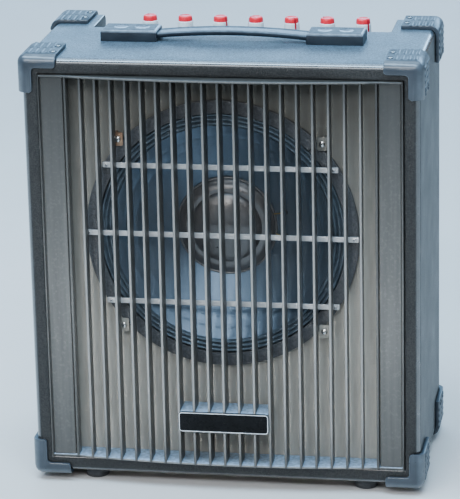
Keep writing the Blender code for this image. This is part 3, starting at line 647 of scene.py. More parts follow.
def cabinet_shell():
    """The four walls as one wrapped skin with rounded edges, and the recess for the controls."""
    length = BACK - FRONT
    lip = 0.0011
    profile = [(WALL, lip), (WALL - 0.0003, 0.0004), (WALL - lip, 0.0), (0.015, 0.0), (0.012, 0.0),
               (0.009, 0.0)]
    profile += arc((EDGE, EDGE), EDGE, 270, 180)
    profile += [(0.0, EDGE + (length - 2 * EDGE) * k / 12) for k in range(1, 12)]
    profile += arc((EDGE, length - EDGE), EDGE, 180, 90)
    profile += [(0.012, length), (WALL - lip, length), (WALL - 0.0003, length - 0.0004),
                (WALL, length - lip), (WALL, length - 0.018), (WALL, length * 0.5), (WALL, 0.03)]
    bm = bmesh.new()
    grid(bm, [cabinet_ring(inset, depth(y)) for inset, y in profile], closed=True, wrap=True)
    for face in bm.faces:
        place = face.calc_center_median()
        inner = max(abs(place.x) / (HALF - WALL),
                    abs(place.z - CENTRE.z) / ((TOP - BASE) / 2 - WALL)) < 1.001
        if inner and depth(0.031) < place.y < BACK - 0.017:
            face.material_index = 1
    shell = make("cabinet_shell", bm, [VINYL, CHIPBOARD], "cabinet_vinyl",
                 "cabinet_top", "cabinet_bottom", "cabinet_left", "cabinet_right")
    half, ahead = 0.168, depth(0.153)
    cutter = bmesh.new()
    block(cutter, (-half, ahead, TOP - 2 * WALL), (half, BACK + 0.05, TOP + 0.05), 0.0035, 3)
    carve(shell, [new_object("recess", cutter, [VINYL])], (0.0018, 3, 50))
    shade(shell, 40)
    mark_edges(shell)


def back_panels():
    """Two vinyl-covered boards with their screws; the upper one is cut for the mains inlet."""
    for part in ("lower", "upper"):
        low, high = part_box(f"back_panel_{part}")
        bm = bmesh.new()
        block(bm, low, high, 0.0025, 3)
        panel = make(f"{part}_back_panel", bm, [VINYL, NICKEL, BLACK], "cabinet_vinyl",
                     f"back_panel_{part}")
        levels = (0.011, 0.128)
        if part == "upper":
            levels = (0.011, high.z - low.z - 0.012)
            inlet = middle("mains_inlet")
            bm = bmesh.new()
            slab(bm, rounded(0.0284, 0.0214, 0.001, (inlet.x, inlet.z)), "Y", low.y - 0.02, high.y + 0.02)
            carve(panel, [new_object("inlet_hole", bm, [BLACK])])
        bm = bmesh.new()
        bm.from_mesh(panel.data)
        for x in (-0.188, -0.066, 0.066, 0.188):
            for level in levels:
                screw(bm, 0.0038, (0, 1, 0), (x, high.y + 0.0004, low.z + level), washer=True)
        bmesh.ops.recalc_face_normals(bm, faces=bm.faces)
        bm.to_mesh(panel.data)
        bm.free()
        shade(panel, 35)
        mark_edges(panel)


# Grille

def bow(x):
    """How far behind the cabinet's front edge the slats' noses lie."""
    return GRILLE_SIDE_FRONT - GRILLE_BOW * (1 - min(abs(x) / SLAT_SPAN, 1.0) ** 2)


def slat(bm, x):
    """One slat: rounded front edge, a slight taper to the rear."""
    front, rear = bow(x), SLAT_REAR
    half, back_half = SLAT_THICKNESS / 2, SLAT_THICKNESS / 2 - 0.0003
    outline = [(x - back_half, depth(rear)), (x - back_half + 0.0002, depth(rear + 0.0002)),
               (x + back_half - 0.0002, depth(rear + 0.0002)), (x + back_half, depth(rear))]
    for k in range(7):
        angle = radians(30 * k)
        outline.append((x + half * cos(angle), depth(front + 0.0009 - 0.0009 * sin(angle))))
    levels = [FLOOR + 0.001 + (CEILING - FLOOR - 0.002) * k / 8 for k in range(9)]
    loft(bm, [[(a, b, z) for a, b in outline] for z in levels])


def rail(bm, low, high, forward):
    """A rail across the grille, its rounded nose following the bow."""
    half = INSIDE - 0.0012
    radius = (high - low) / 2
    sections = []
    for i in range(49):
        x = -half + 2 * half * i / 48
        nose = depth(bow(x) - forward) + radius
        section = [(x, depth(GRILLE_REAR), low), (x, depth(GRILLE_REAR), high)]
        section += [(x, y, z) for y, z in arc((nose, (low + high) / 2), radius, 90, 270)]
        sections.append(section)
    loft(bm, sections)


def grille_side(bm, side):
    """Side channel: outer lip, shadow groove, then the flat flange beside the first slat."""
    wall = INSIDE - 0.0004
    inner = SLAT_SPAN + 0.0026 + side * SLAT_SHIFT
    front = GRILLE_SIDE_FRONT - 0.001
    outline = [(wall, front + 0.0006), (wall, GRILLE_REAR), (wall - 0.002, GRILLE_REAR),
               (wall - 0.002, 0.0052), (inner, 0.0052), (inner, 0.0006), (inner + 0.0006, 0.0),
               (wall - 0.0032, 0.0), (wall - 0.0028, 0.0004), (wall - 0.0028, 0.0014),
               (wall - 0.0016, 0.0014), (wall - 0.0016, front + 0.0006), (wall - 0.0011, front),
               (wall - 0.0005, front)]
    placed = [(side * x, depth(y)) for x, y in outline]
    levels = [FLOOR + (CEILING - FLOOR) * k / 8 for k in range(9)]
    loft(bm, [[(a, b, z) for a, b in placed] for z in levels])


def grille():
    bm = bmesh.new()
    for i in range(SLATS):
        slat(bm, SLAT_SHIFT - SLAT_SPAN + i * SLAT_PITCH)
    rail(bm, CEILING - 0.0034, CEILING - 0.0004, 0.0006)
    rail(bm, FLOOR + 0.0003, FLOOR + 0.0032, -0.0012)
    for side in (-1, 1):
        grille_side(bm, side)
    low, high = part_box("badge_plate")
    block(bm, (low.x + 0.001, depth(-0.013), low.z + 0.001),
          (high.x - 0.001, depth(0.0195), high.z - 0.001), 0.0006)
    moulding = make("slat_grille", bm, [GRILLE], "grille_plastic", "grille")
    # Marks the front-facing noses of the slats and rails, which the grille material lightens as a painted
    # highlight.
    mark(moulding, lambda vertex: (abs(vertex.co.x) < 0.164 and abs(vertex.normal.z) < 0.1)
         * (-vertex.normal.y - 0.25) * 1.6)


def badge():
    """A blank black plate with a fine pale line round its edge."""
    low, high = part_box("badge_plate")
    width, height = high.x - low.x, high.z - low.z
    centre = ((low.x + high.x) / 2, (low.z + high.z) / 2)
    bm = bmesh.new()
    slab(bm, rounded(width, height, 0.004, centre, 8), "Y", low.y + 0.0002, high.y, 0.0005, 2)
    outer = rounded(width - 0.0012, height - 0.0012, 0.0035, centre, 8)
    inner = rounded(width - 0.003, height - 0.003, 0.0026, centre, 8)
    grid(bm, [[(a, y, b) for a, b in line] for line, y in
              ((outer, low.y + 0.0003), (outer, low.y), (inner, low.y), (inner, low.y + 0.0003))],
         closed=True, wrap=True, mat=1)
    make("badge_blank", bm, [BADGE, PRINT], "badge_black", "badge_plate")


def guard_bars():
    """Flat bars with rounded edges, each bolted down through a thicker pad at both ends."""
    for name in ("guard_bar_upper", "guard_bar_middle", "guard_bar_lower"):
        low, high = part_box(name)
        centre, half, strip, pad = (low.x + high.x) / 2, (high.x - low.x) / 2, 0.0024, 0.0095
        level, tall = (low.z + high.z) / 2, high.z - low.z

        def ends(x):
            """How far back the bar reaches at this x: a short slope leads into each pad."""
            share = min(1.0, max(0.0, (abs(x) - half + pad + 0.0015) / 0.0015))
            return strip + (high.y - low.y - strip) * share

        places = [-half, -half + 0.0006] + [-half + pad * k / 6 for k in range(1, 9)]
        places = sorted(places + [-x for x in places] + [half * k / 10 for k in range(-9, 10)
                                                         if abs(half * k / 10) < half - 0.014])
        bm = bmesh.new()
        sections = []
        for x in places:
            shrink = 0.0005 if abs(x) > half - 0.0003 else 0.0
            back = ends(x)
            sections.append([(centre + x, low.y + back / 2 + u, level + v) for u, v in
                             rounded(back - 2 * shrink, tall - 2 * shrink, 0.0008, steps=3)])
        loft(bm, sections)
        for side in (-1, 1):
            screw(bm, 0.0019, (0, -1, 0), (centre + side * (half - pad / 2), low.y + 0.0001, level))
        make(name.replace("guard_bar", "bar"), bm, [BAR, ZINC, BLACK], "bar_metal", name)


# Speaker

def round_speaker(radius, angle, level):
    """The point at a radius, an angle and a depth from the middle of the speaker's front."""
    return SPEAKER + Vector((radius * cos(angle), level, radius * sin(angle)))


def ring(name, profile, materials, slot, node, body="cabinet", steps=96, extra=None):
    """A piece turned about the speaker's axis."""
    bm = bmesh.new()
    lathe(bm, profile, SPEAKER, "Y", steps)
    if extra:
        extra(bm)
    make(name, bm, materials, slot, node, body=body)


def thickened(front, thickness):
    """The closed profile of a sheet with this front."""
    return front + [(radius, level + thickness) for radius, level in reversed(front)]


def gasket():
    """Four arcs of felt with narrow gaps between them."""
    bm = bmesh.new()
    profile = mm((137.2, 20.4), (137.2, 17.2), (137.8, 16.8), (144, 16.7), (150.2, 16.8),
                 (150.8, 17.2), (150.8, 20.4))
    for k in range(4):
        start = radians(90 * k + 45.3)
        lathe(bm, profile, SPEAKER, "Y", 40, 0, start, radians(89.4))
    make("gasket_arcs", bm, [FELT], "gasket_felt", "speaker_gasket")


def surround():
    """Three half-rolls of doped cloth."""
    inner, outer, steps = 0.1224, 0.1369, 42
    front = []
    for i in range(steps + 1):
        front.append((inner + (outer - inner) * i / steps, 0.0226 - 0.003 * abs(sin(3 * pi * i / steps))))
    ring("surround_rolls", thickened(front, 0.0007), [CLOTH], "treated_cloth", "speaker_surround",
         steps=144)


def cone_level(radius):
    """Depth of the cone's face at this radius."""
    rim_level, neck_level = 0.0224, 0.07
    t = (CONE_RIM - radius) / (CONE_RIM - CONE_NECK)
    return rim_level + (neck_level - rim_level) * (t + 0.1 * t * (1 - t))


def cone():
    """The paper cone with its pressed rings, the eyelets and the leads that come through it."""
    height, width, places = 0.0005, 0.0011, (0.109, 0.0985)
    front = []
    for i in range(65):
        radius = CONE_RIM - (CONE_RIM - CONE_NECK) * i / 64
        pressed = sum(height * exp(-((radius - place) / width) ** 2) for place in places)
        front.append((radius, cone_level(radius) - pressed))

    def leads(bm):
        eyelet = 0.068
        for turn in (-8, 16):
            angle = radians(turn)
            out = Vector((cos(angle), 0, sin(angle)))
            place = round_speaker(eyelet, angle, cone_level(eyelet) - 0.0004)
            stud(bm, mm((0, 0), (3.4, 0), (3, 0.7), (1.6, 1.3), (0, 1.5)),
                 Vector((0, -0.9, 0)) - out * 0.42, place, 20)
            route = [place, place + Vector((0, -0.0016, 0)),
                     round_speaker(0.0625, angle, cone_level(0.0625) - 0.003),
                     round_speaker(0.055, angle, 0.052)]
            tube(bm, smooth_points(route, 14), 0.0006, 8, 2)

    ring("cone_body", thickened(front, 0.0008), [CONE, BLACK, BRASS], "cone_paper", "speaker_cone",
         "cone", 160, leads)


def dust_cap():
    """A stepped dome with a bead of glue where it meets the cone."""
    profile = mm((54.1, 53), (53.4, 51.8), (52.1, 50.9))
    for i in range(9):
        t = i / 8
        profile.append((0.0512 - 0.0078 * t, 0.0505 - 0.0033 * sin(t * pi / 2)))
    profile += mm((42.3, 47.2), (41, 47.3), (39.8, 47.1))
    for i in range(1, 17):
        t = i / 16
        profile.append((0.0396 * cos(t * pi / 2) ** 0.92, 0.0472 - 0.0078 * sin(t * pi / 2)))
    back = [(max(r - 0.0004, 0.0) * 0.985, level + 0.0008) for r, level in reversed(profile)]
    bead = [(0.055 + 0.0012 * cos(tau * k / 10), 0.0532 + 0.001 * sin(tau * k / 10))
            for k in range(10)]
    ring("cap_dome", profile + back, [CAP], "cone_paper", "dust_cap", "cone", 120,
         lambda bm: lathe(bm, bead, SPEAKER, "Y", 120))


def clamps():
    """Pressed tabs over the speaker's rim, each with a bright cross-head screw."""
    across, rise = 0.112, 0.1065
    for vertical, up in (("top", 1), ("bottom", -1)):
        for horizontal, right in (("left", -1), ("right", 1)):
            node = f"speaker_clamp_{vertical}_{horizontal}"
            x, z = SPEAKER.x + right * across, SPEAKER.z + up * rise
            bm = bmesh.new()
            slab(bm, rounded(0.011, 0.015, 0.0016, (x, z)), "Y", depth(0.0146), depth(0.0163), 0.0005)
            sides = sorted((x + right * 0.0012, x + right * 0.0055))
            ends = sorted((z + up * 0.002, z + up * 0.0075))
            block(bm, (sides[0], depth(0.0152), ends[0]), (sides[1], depth(0.0236), ends[1]), 0.0005)
            screw(bm, 0.0035, (0, -1, 0), (x, depth(0.0147), z))
            tab = TARNISHED if (up, right) == (1, -1) else BAFFLE
            make(node.replace("speaker_", ""), bm, [tab, NICKEL, BLACK], "baffle_paint", node)


def basket():
    """Pressed frame: rolled rim, landing behind the surround, eight ribbed arms, magnet plate."""
    bm = bmesh.new()
    lathe(bm, mm((137.3, 20.8), (150, 20.8), (151, 21.6), (151, 23.6), (149.7, 23.7), (139.3, 23.7),
                 (139.3, 34), (137.3, 34)), SPEAKER, "Y", 120)
    lathe(bm, mm((120.3, 27.4), (138, 27.4), (138, 28.2), (120.3, 28.2)), SPEAKER, "Y", 120)
    lathe(bm, mm((22, 85.8), (66, 85.8), (73, 83), (74, 84.6), (67, 87.6), (22, 88)), SPEAKER, "Y", 96)
    outer = mm((138.4, 32.5), (138.4, 37.2), (133, 40.5))
    for k in range(8):
        angle = tau * k / 8
        sections = []
        for radius, level in outer + mm((115, 53.7), (95, 67.5), (80, 78.6), (70, 85.3)):
            half = 0.0085 + 0.0065 * ((radius - 0.07) / 0.068) ** 2
            section = []
            for t, lift in mirrored([(half * 0.45, 0.0), (half - 0.001, 0.003), (half, 0.0024),
                                     (half - 0.0006, 0.0008), (half * 0.5, -0.0022)]):
                a = radius * cos(angle) - t * sin(angle)
                b = radius * sin(angle) + t * cos(angle)
                section.append(SPEAKER + Vector((a, level + lift - 0.001, b)))
            sections.append(section)
        loft(bm, sections)
    for k in range(8):
        angle = tau * (k + 0.5) / 8
        lip = mm((137.3, 33.5), (139.3, 33.5), (139.3, 40), (138, 41.2), (136.7, 40))
        lathe(bm, lip, SPEAKER, "Y", 12, 0, angle - 0.4, 0.8)
    for k in range(4):
        angle = tau * (k + 0.5) / 4
        stud(bm, mm((0, 0), (2.8, 0), (2.6, 1), (1.4, 1.8), (0, 2)), (0, 1, 0),
             round_speaker(0.069, angle, 0.0868), 16)
    make("basket_frame", bm, [BLACK_STEEL, ZINC], "basket_steel", "speaker_basket")


def motor():
    """Spider, voice coil, plates, magnet and yoke with their edges broken."""
    inner, outer, waves, wave_height, steps = 0.0204, 0.053, 4, 0.0011, 60
    folds = [(inner, 0.08)]
    for i in range(steps):
        share = (i + 1) / steps
        level = 0.0806 + wave_height * sin(i / steps * tau * waves) + 0.0034 * share ** 6
        folds.append((inner + (outer - inner) * share, level))
    folds += [(0.056, 0.0845), (0.0605, 0.0845)]
    ring("spider_cloth", thickened(folds, 0.0006), [CLOTH], "treated_cloth", "spider")
    ring("coil_former", mm((18.8, 71.5), (19.4, 71.5), (19.4, 87.8), (19.8, 88.2), (19.8, 98.5),
                           (18.8, 98.5)), [COPPER], "coil_copper", "voice_coil", "cone", 64)
    ring("top_plate", mm((20.3, 88.3), (51.4, 88.3), (52, 88.9), (52, 94.7), (51.4, 95.3),
                         (20.3, 95.3)), [ZINC], "plated_steel", "magnet_top_plate")
    ring("magnet_body", mm((24.5, 95.6), (58.5, 95.6), (60, 97), (60, 114.2), (58.5, 115.6),
                           (24.5, 115.6)), [FERRITE], "ferrite", "magnet_ring")
    ring("yoke_plate", mm((0, 85.2), (17.2, 85), (18, 85.8), (18, 115.9), (51.2, 115.9), (52, 116.6),
                          (52, 120.8), (50, 122.5), (30, 122.9), (14, 122.7), (11, 120.5), (6, 119.6),
                          (0, 119.4)), [ZINC], "plated_steel", "magnet_yoke")


def speaker_lead():
    """The terminal strip on the basket and a twisted pair up to the chassis."""
    low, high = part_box("speaker_terminal")
    centre = middle("speaker_terminal")
    bm = bmesh.new()
    block(bm, low, high, 0.0007)
    for side in (-1, 1):
        x = centre.x + side * 0.0075
        block(bm, (x - 0.0024, high.y - 0.0002, low.z + 0.0015),
              (x + 0.0024, high.y + 0.0002, high.z - 0.0015), 0.0001, 1, 1)
    make("terminal_strip", bm, [BLACK, BRASS], "switch_plastic", "speaker_terminal")
    start = Vector((centre.x, high.y + 0.0003, centre.z))
    end = Vector((start.x + 0.03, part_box("chassis")[0].y - 0.0003, PANEL_TOP - 0.04))
    route = [start, start + Vector((0, 0.012, -0.001)), start + Vector((0.006, 0.03, -0.01)),
             start + Vector((0.016, 0.048, -0.006)), start + Vector((0.026, 0.062, 0.014)),
             end - Vector((0, 0.012, 0.002)), end]
    line = smooth_points(route, 90)
    twist, apart, thick = 0.42, 0.00115, 0.0011
    bm = bmesh.new()
    for turn, mat in ((0.0, 0), (pi, 1)):
        strand = []
        for i, point in enumerate(line):
            ahead = (line[min(i + 1, 90)] - line[max(i - 1, 0)]).normalized()
            side = ahead.cross(Vector((1, 0, 0))).normalized()
            other = ahead.cross(side)
            angle = turn + i * twist
            strand.append(point + apart * (side * cos(angle) + other * sin(angle)))
        tube(bm, strand, thick, 8, mat)
    make("twisted_pair", bm, [WIRE_RED, WIRE_BLACK], "lead_rubber", "speaker_lead")


# Controls

def knob_xs():
    """Where the knobs stand, from left to right."""
    return [middle(f"knob_{i + 1}").x for i in range(7)]


def knobs():
    """Red cap on a white flared skirt, with a red line down the skirt."""
    foot = PANEL_TOP + 0.001
    for i, x in enumerate(knob_xs()):
        bm = bmesh.new()
        centre = (x, ROW, foot)
        skirt = mm((0, 0), (9.3, 0), (9.6, 0.3), (9.6, 1.2), (9.4, 1.6), (9.1, 8), (8.7, 16),
                   (8.5, 16.9), (8.1, 17.3), (0, 17.3))
        lathe(bm, skirt, centre, "Z", 56, 0)
        cap = mm((0, 16), (7.9, 16), (8.1, 17.5), (8, 18.2), (7.8, 20.5), (7.6, 21.8), (7.1, 22.7),
                 (6.3, 23.1), (5.7, 23.1), (5.1, 22.7), (3, 22.5), (0, 22.5))
        lathe(bm, cap, centre, "Z", 56, 1)
        angle = radians(POINTERS[i])
        out = Vector((sin(angle), -cos(angle), 0))
        across = Vector((cos(angle), sin(angle), 0))
        line = mm((9.3, 1.8), (9, 8), (8.6, 16), (8, 17.8), (7.8, 20.5), (7.4, 21.8), (6.6, 23),
                  (5.2, 22.9))
        sections = []
        for radius, height in line:
            spine = Vector(centre) + out * radius + Vector((0, 0, height))
            tall = 1.0 if height < 0.0215 else 0.0
            lift = out * 0.00045 * tall + Vector((0, 0, 0.00035)) * (1 - tall)
            sections.append([spine + across * a + lift * share for a, share in
                             ((-0.0011, -1), (-0.0011, 0.5), (-0.0006, 1), (0.0006, 1), (0.0011, 0.5),
                              (0.0011, -1))])
        loft(bm, sections, 2)
        make(f"knob_{i + 1}_turned", bm, [WHITE, RED, DEEP_RED], "knob_plastic", f"knob_{i + 1}",
             body=f"knob_{i + 1}")


def panel_print():
    """White dial ticks round each knob and a fine border, printed on the panel."""
    bm = bmesh.new()
    level = PANEL_TOP + 0.00006
    for x in knob_xs():
        for k in range(11):
            angle = radians(-150 + 30 * k)
            out = Vector((sin(angle), cos(angle), 0))
            across = Vector((out.y, -out.x, 0))
            reach = 0.0142 if k % 5 == 0 else 0.0132
            a = Vector((x, ROW, level)) + out * 0.0112
            b = Vector((x, ROW, level)) + out * reach
            wide = across * (0.00045 if k % 5 == 0 else 0.0003)
            bm.faces.new([bm.verts.new(p) for p in (a - wide, a + wide, b + wide, b - wide)])
    for y in (depth(0.1575), depth(0.212)):
        bm.faces.new([bm.verts.new(p) for p in ((-0.16, y, level), (0.16, y, level),
                                                (0.16, y + 0.0006, level), (-0.16, y + 0.0006, level))])
    make("panel_print", bm, [PRINT], "panel_black")
    bm = bmesh.new()
    for x in (-0.1605, -0.055, 0.055, 0.1605):
        for y in (depth(0.161), depth(0.2085)):
            if abs(x) > 0.1 or y < ROW:
                screw(bm, 0.0026, (0, 0, 1), (x, y, PANEL_TOP), 0)
    make("panel_screws", bm, [NICKEL, BLACK], "panel_black")


def jack_and_lamp():
    """Socket with its hexagon nut and washer, and a domed lens in a bright bezel."""
    x = middle("input_jack").x
    seat = (x, ROW, PANEL_TOP)
    bm = bmesh.new()
    lathe(bm, mm((3.3, 3.6), (3.7, 4), (5.1, 4), (5.5, 3.6), (5.5, -1.8), (8, -1.8), (8, -22),
                 (0, -22), (0, -19), (3.3, -19)), seat, "Z", 40)
    reach, turn = 0.0074, 0.2
    nut = [(x + reach * cos(tau * k / 6 + turn), ROW + reach * sin(tau * k / 6 + turn)) for k in range(6)]
    slab(bm, nut, "Z", PANEL_TOP + 0.0009, PANEL_TOP + 0.0029, 0.0004, 2, 1)
    lathe(bm, mm((5.6, 0.1), (7.6, 0.1), (7.6, 0.8), (5.6, 0.8)), seat, "Z", 40, 1)
    make("jack_fittings", bm, [BLACK, NICKEL], "switch_plastic", "input_jack")
    seat = (middle("pilot_lamp").x, ROW, PANEL_TOP)
    bm = bmesh.new()
    lathe(bm, mm((0, 4), (1.2, 3.8), (2.2, 3), (2.7, 1.8), (2.7, -8), (0, -8)), seat, "Z", 40)
    lathe(bm, mm((2.8, 0.2), (4.2, 0.2), (4.2, 0.9), (3.7, 1.6), (3, 1.6)), seat, "Z", 40, 1)
    make("lamp_lens", bm, [LENS, NICKEL], "lamp_red", "pilot_lamp")


def power_switch():
    """Housing with an open well, and the dished rocker key at rest in it."""
    x = middle("power_switch_body").x
    top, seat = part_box("power_switch_body")[1].z, PANEL_TOP + 0.0003
    outer, inner = rounded(0.0156, 0.0232, 0.0012, (x, ROW)), rounded(0.0108, 0.0176, 0.0005, (x, ROW))
    shoulder = rounded(0.0148, 0.0224, 0.001, (x, ROW))
    body = rounded(0.013, 0.0198, 0.0005, (x, ROW))
    bm = bmesh.new()
    levels = ((inner, PANEL_TOP - 0.007), (inner, top), (shoulder, top), (outer, top - 0.0006),
              (outer, seat), (body, seat), (body, PANEL_TOP - 0.016))
    loft(bm, [[(a, b, z) for a, b in line] for line, z in levels])
    make("switch_housing", bm, [BLACK], "switch_plastic", "power_switch_body")
    pivot, rest_angle = Vector((x, ROW, PANEL_TOP + 0.001)), radians(-8)
    outline = mm((-6.6, -3), (-7.7, 2.4), (-7.5, 3.3), (-6.8, 3.5))
    outline += [(-0.0055 + 0.011 * k / 8, 0.0033 - 0.0015 * sin(pi * k / 8)) for k in range(9)]
    outline += mm((6.8, 3.5), (7.5, 3.3), (7.7, 2.4), (6.6, -3), (0, -5))
    half = 0.0049
    bm = bmesh.new()
    slab(bm, outline, "X", -half, half, 0.0004)
    block(bm, (-0.002, -0.0058, 0.0024), (0.002, -0.0052, 0.0034), 0.0001, 1, 1)
    place = Matrix.Translation(pivot) @ Matrix.Rotation(rest_angle, 4, "X")
    bmesh.ops.transform(bm, matrix=place, verts=bm.verts)
    make("rocker_key", bm, [BLACK, PRINT], "switch_plastic", "power_rocker", body="rocker")


def mains_inlet():
    """Flanged three-pin socket, its lower corners cut off, with two screws."""
    low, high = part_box("mains_inlet")
    x, z = (low.x + high.x) / 2, (low.z + high.z) / 2
    face, back = high.y, low.y
    bm = bmesh.new()
    flange = rounded(0.049, 0.0276, 0.004, (x, z), 6)
    cut = 0.0045
    socket = mirrored([(0.0122, 0.0085), (0.0122, -0.0085 + cut), (0.0122 - cut, -0.0085)])
    bezel = [(a * 1.13, b * 1.19) for a, b in socket]
    slab(bm, flange, "Y", face - 0.0016, face - 0.0002, 0.0005)
    levels = ((socket, back + 0.0065), (socket, face), (bezel, face), (bezel, back))
    loft(bm, [[(x + a, y, z + b) for a, b in line] for line, y in levels])
    for a, b in ((-0.007, -0.0005), (0.007, -0.0005), (0.0, 0.0045)):
        block(bm, (x + a - 0.001, back + 0.006, z + b - 0.002),
              (x + a + 0.001, face - 0.003, z + b + 0.002), 0.0004, 2, 1)
    for side in (-1, 1):
        screw(bm, 0.0022, (0, 1, 0), (x + side * 0.02, face - 0.0012, z))
    make("inlet_socket", bm, [BLACK, NICKEL, BADGE], "switch_plastic", "mains_inlet")


def transformer():
    """Laminated core as a frame of four stacks with corner screws, and the taped winding inside."""
    low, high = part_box("transformer_core")
    bm = bmesh.new()
    for z0, z1 in ((low.z, low.z + 0.011), (high.z - 0.011, high.z)):
        block(bm, (low.x, low.y, z0), (high.x, high.y, z1), 0.0006)
    for x0, x1 in ((low.x, low.x + 0.0112), (high.x - 0.0112, high.x)):
        block(bm, (x0, low.y, low.z + 0.0105), (x1, high.y, high.z - 0.0105), 0.0006)
    for x in (low.x + 0.0055, high.x - 0.0055):
        for z in (low.z + 0.0055, high.z - 0.0055):
            screw(bm, 0.003, (0, 1, 0), (x, high.y, z))
    make("core_stack", bm, [CORE, ZINC, BLACK], "core_iron", "transformer_core")
    low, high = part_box("transformer_winding")
    across, deep, centre = high.x - low.x, high.y - low.y, middle("transformer_winding")
    bm = bmesh.new()
    slab(bm, rounded(across, deep, 0.006, centre), "Z", low.z + 0.0012, high.z - 0.0012, 0.0006)
    tape = rounded(across - 0.0004, deep + 0.0002, 0.006, centre)
    level = middle("transformer_core").z
    slab(bm, tape, "Z", level - 0.0085, level + 0.0085, 0.0004, 2, 1)
    make("winding_coil", bm, [COPPER, TAPE], "coil_copper", "transformer_winding")


# Handle

def strap_level(x):
    """Height of the strap's middle over the cabinet's top: an arch, flat at both ends."""
    ends, rise, half = 0.006, 0.0042, 0.083
    return ends + rise * max(0.0, 1 - (x / half) ** 2)


def handle_strap():
    """Moulded strap: a bead along each long edge and a shallow channel between them."""
    shape = mirrored(mm((7.68, -3), (11.6, -2.6), (12.8, -1.2), (12.8, 1.2), (12.2, 2.2), (11, 2.9),
                        (9.4, 2.9), (8.2, 2.1), (5.76, 2.3), (0, 2.6)))
    reach, steps = 0.1218, 72
    bm = bmesh.new()
    sections = []
    for i in range(steps + 1):
        x = -reach + 2 * reach * i / steps
        level = TOP + strap_level(x)
        sections.append([(x, HANDLE_Y + a, level + b) for a, b in shape])
    loft(bm, sections)
    strap = make("strap", bm, [HANDLE], "handle_rubber", "handle_strap", angle=50)
    # Painted bluish sky reflection on the strap's faces that look up.
    mark(strap, lambda vertex: 0.4 * (vertex.normal.z > 0.3))


def handle_cap(name, side):
    """End cap as one moulded lid: rounded edges and two smooth oval dishes."""
    low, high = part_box(name)
    inner, outer = sorted((abs(low.x), abs(high.x)))
    width, height = (high.y - low.y) / 2, high.z - TOP
    ovals = (inner + 0.0185, inner + 0.0425)
    dish_length, dish_width, dish_depth, edge = 0.008, 0.0085, 0.0017, 0.0042

    def hollow(u, v):
        """How deep a place lies in a dish: 1 at its middle, 0 outside."""
        return max(0.0, *(1 - ((u - place) / dish_length) ** 2 - (v / dish_width) ** 2
                          for place in ovals))

    def top(u, v):
        """Height of the lid at u from its inner end and v across."""
        near = min(u - inner, outer - u, width - abs(v))
        fall = edge - sqrt(max(edge ** 2 - max(edge - near, 0.0) ** 2, 0.0))
        return height - fall * 0.8 - dish_depth * hollow(u, v) ** 0.75

    bm = bmesh.new()
    us = [inner + (outer - inner) * (i / 84 - 0.14 * sin(tau * i / 84)) for i in range(85)]
    vs = [width * (2 * i / 44 - 1 + 0.28 * sin(tau * i / 44) / 2) for i in range(45)]
    rows = [[(side * u, HANDLE_Y + v, TOP + top(u, v)) for v in vs] for u in us]
    verts = grid(bm, rows)
    across, along = len(vs) - 1, len(us) - 1
    rim = list(verts[0]) + [verts[i][across] for i in range(1, along + 1)]
    rim += [verts[along][j] for j in range(across - 1, -1, -1)]
    rim += [verts[i][0] for i in range(along - 1, 0, -1)]
    foot = [bm.verts.new((v.co.x, v.co.y, TOP + 0.0003)) for v in rim]
    for i in range(len(rim)):
        j = (i + 1) % len(rim)
        bm.faces.new((rim[i], rim[j], foot[j], foot[i]))
    bm.faces.new(foot)
    end = make(name.replace("cap", "end"), bm, [HANDLE], "corner_plastic", name, angle=50)

    # Painted bluish sky reflection in both dishes and a painted highlight on the sloping edges.
    def painted_reflection(vertex):
        dished = hollow(side * vertex.co.x, vertex.co.y - HANDLE_Y) > 0.2
        return float(dished or 0.35 < vertex.normal.z < 0.95)

    mark(end, painted_reflection)


# Corner protectors

def corner_shell():
    """Rounded shell of the left, front, top protector about the cabinet's centre."""
    proud, half_y, half_z = PROUD - 0.0009, (BACK - FRONT) / 2, (TOP - BASE) / 2
    size_x, size_y, size_z = CORNER_SIZE
    low = Vector((-HALF - proud, -half_y - proud, half_z + PROUD - size_z))
    high = Vector((-HALF - PROUD + size_x, -half_y - PROUD + size_y, half_z + proud))

    def rounded_box(low, high, radius, walls):
        def on_walls(edge):
            spot = (edge.verts[0].co + edge.verts[1].co) / 2
            return sum(abs(spot[i] - walls[i]) < 1e-5 for i in range(3)) >= 2

        bm = bmesh.new()
        cuboid(bm, between(low, high))
        round_off(bm, [e for e in bm.edges if on_walls(e)], radius, 8)
        return bm

    outer = new_object("corner_outer", rounded_box(low, high, EDGE + 0.003, (low.x, low.y, high.z)),
                       [CORNER])
    wall = Vector((-HALF - 0.0003, -half_y - 0.0003, half_z + 0.0003))
    inner = new_object("corner_inner", rounded_box(Vector((wall.x, wall.y, -half_z)),
                                                   Vector((HALF, half_y, wall.z)), EDGE, wall), [CORNER])
    leg, top_leg, bend = low.x + 0.0166, high.z - 0.0146, 0.004
    bottom, end = low.z, high.x
    outline = [(end + 0.01, bottom - 0.01), (end + 0.01, top_leg + bend), (end, top_leg + bend)]
    outline += arc((end - bend, top_leg + bend), bend, 0, -90)
    outline += arc((leg + bend, top_leg - bend), bend, 90, 180)
    outline += arc((leg - bend, bottom + bend), bend, 0, -90)
    outline += [(leg - bend, bottom - 0.01)]
    bm = bmesh.new()
    slab(bm, outline, "Y", -half_y - 0.02, -half_y + 0.006)
    carve(outer, [inner, new_object("corner_window", bm, [CORNER])], (0.0011, 2, 40))
    mesh = outer.data
    bpy.data.objects.remove(outer)
    return mesh


def rib(bm, start, end, out, across, half=0.0024, height=0.0011):
    """A low rounded rib between two points, with round ends."""
    start, end, out, across = map(Vector, (start, end, out, across))
    along = (end - start).normalized()
    length = (end - start).length
    sections = []
    for t, share in ((0, 0.05), (0.12, 0.62), (0.35, 0.88), (0.75, 1.0)):
        sections.append((t * half, share))
    whole = sections + [(length - t, share) for t, share in reversed(sections)]
    rows = []
    for distance, share in whole:
        row = []
        for k in range(9):
            angle = pi * k / 8
            row.append(start + along * distance + across * (half * share * cos(angle))
                       + out * (height * share * sin(angle) - 0.0004))
        rows.append(row)
    loft(bm, rows, 3)


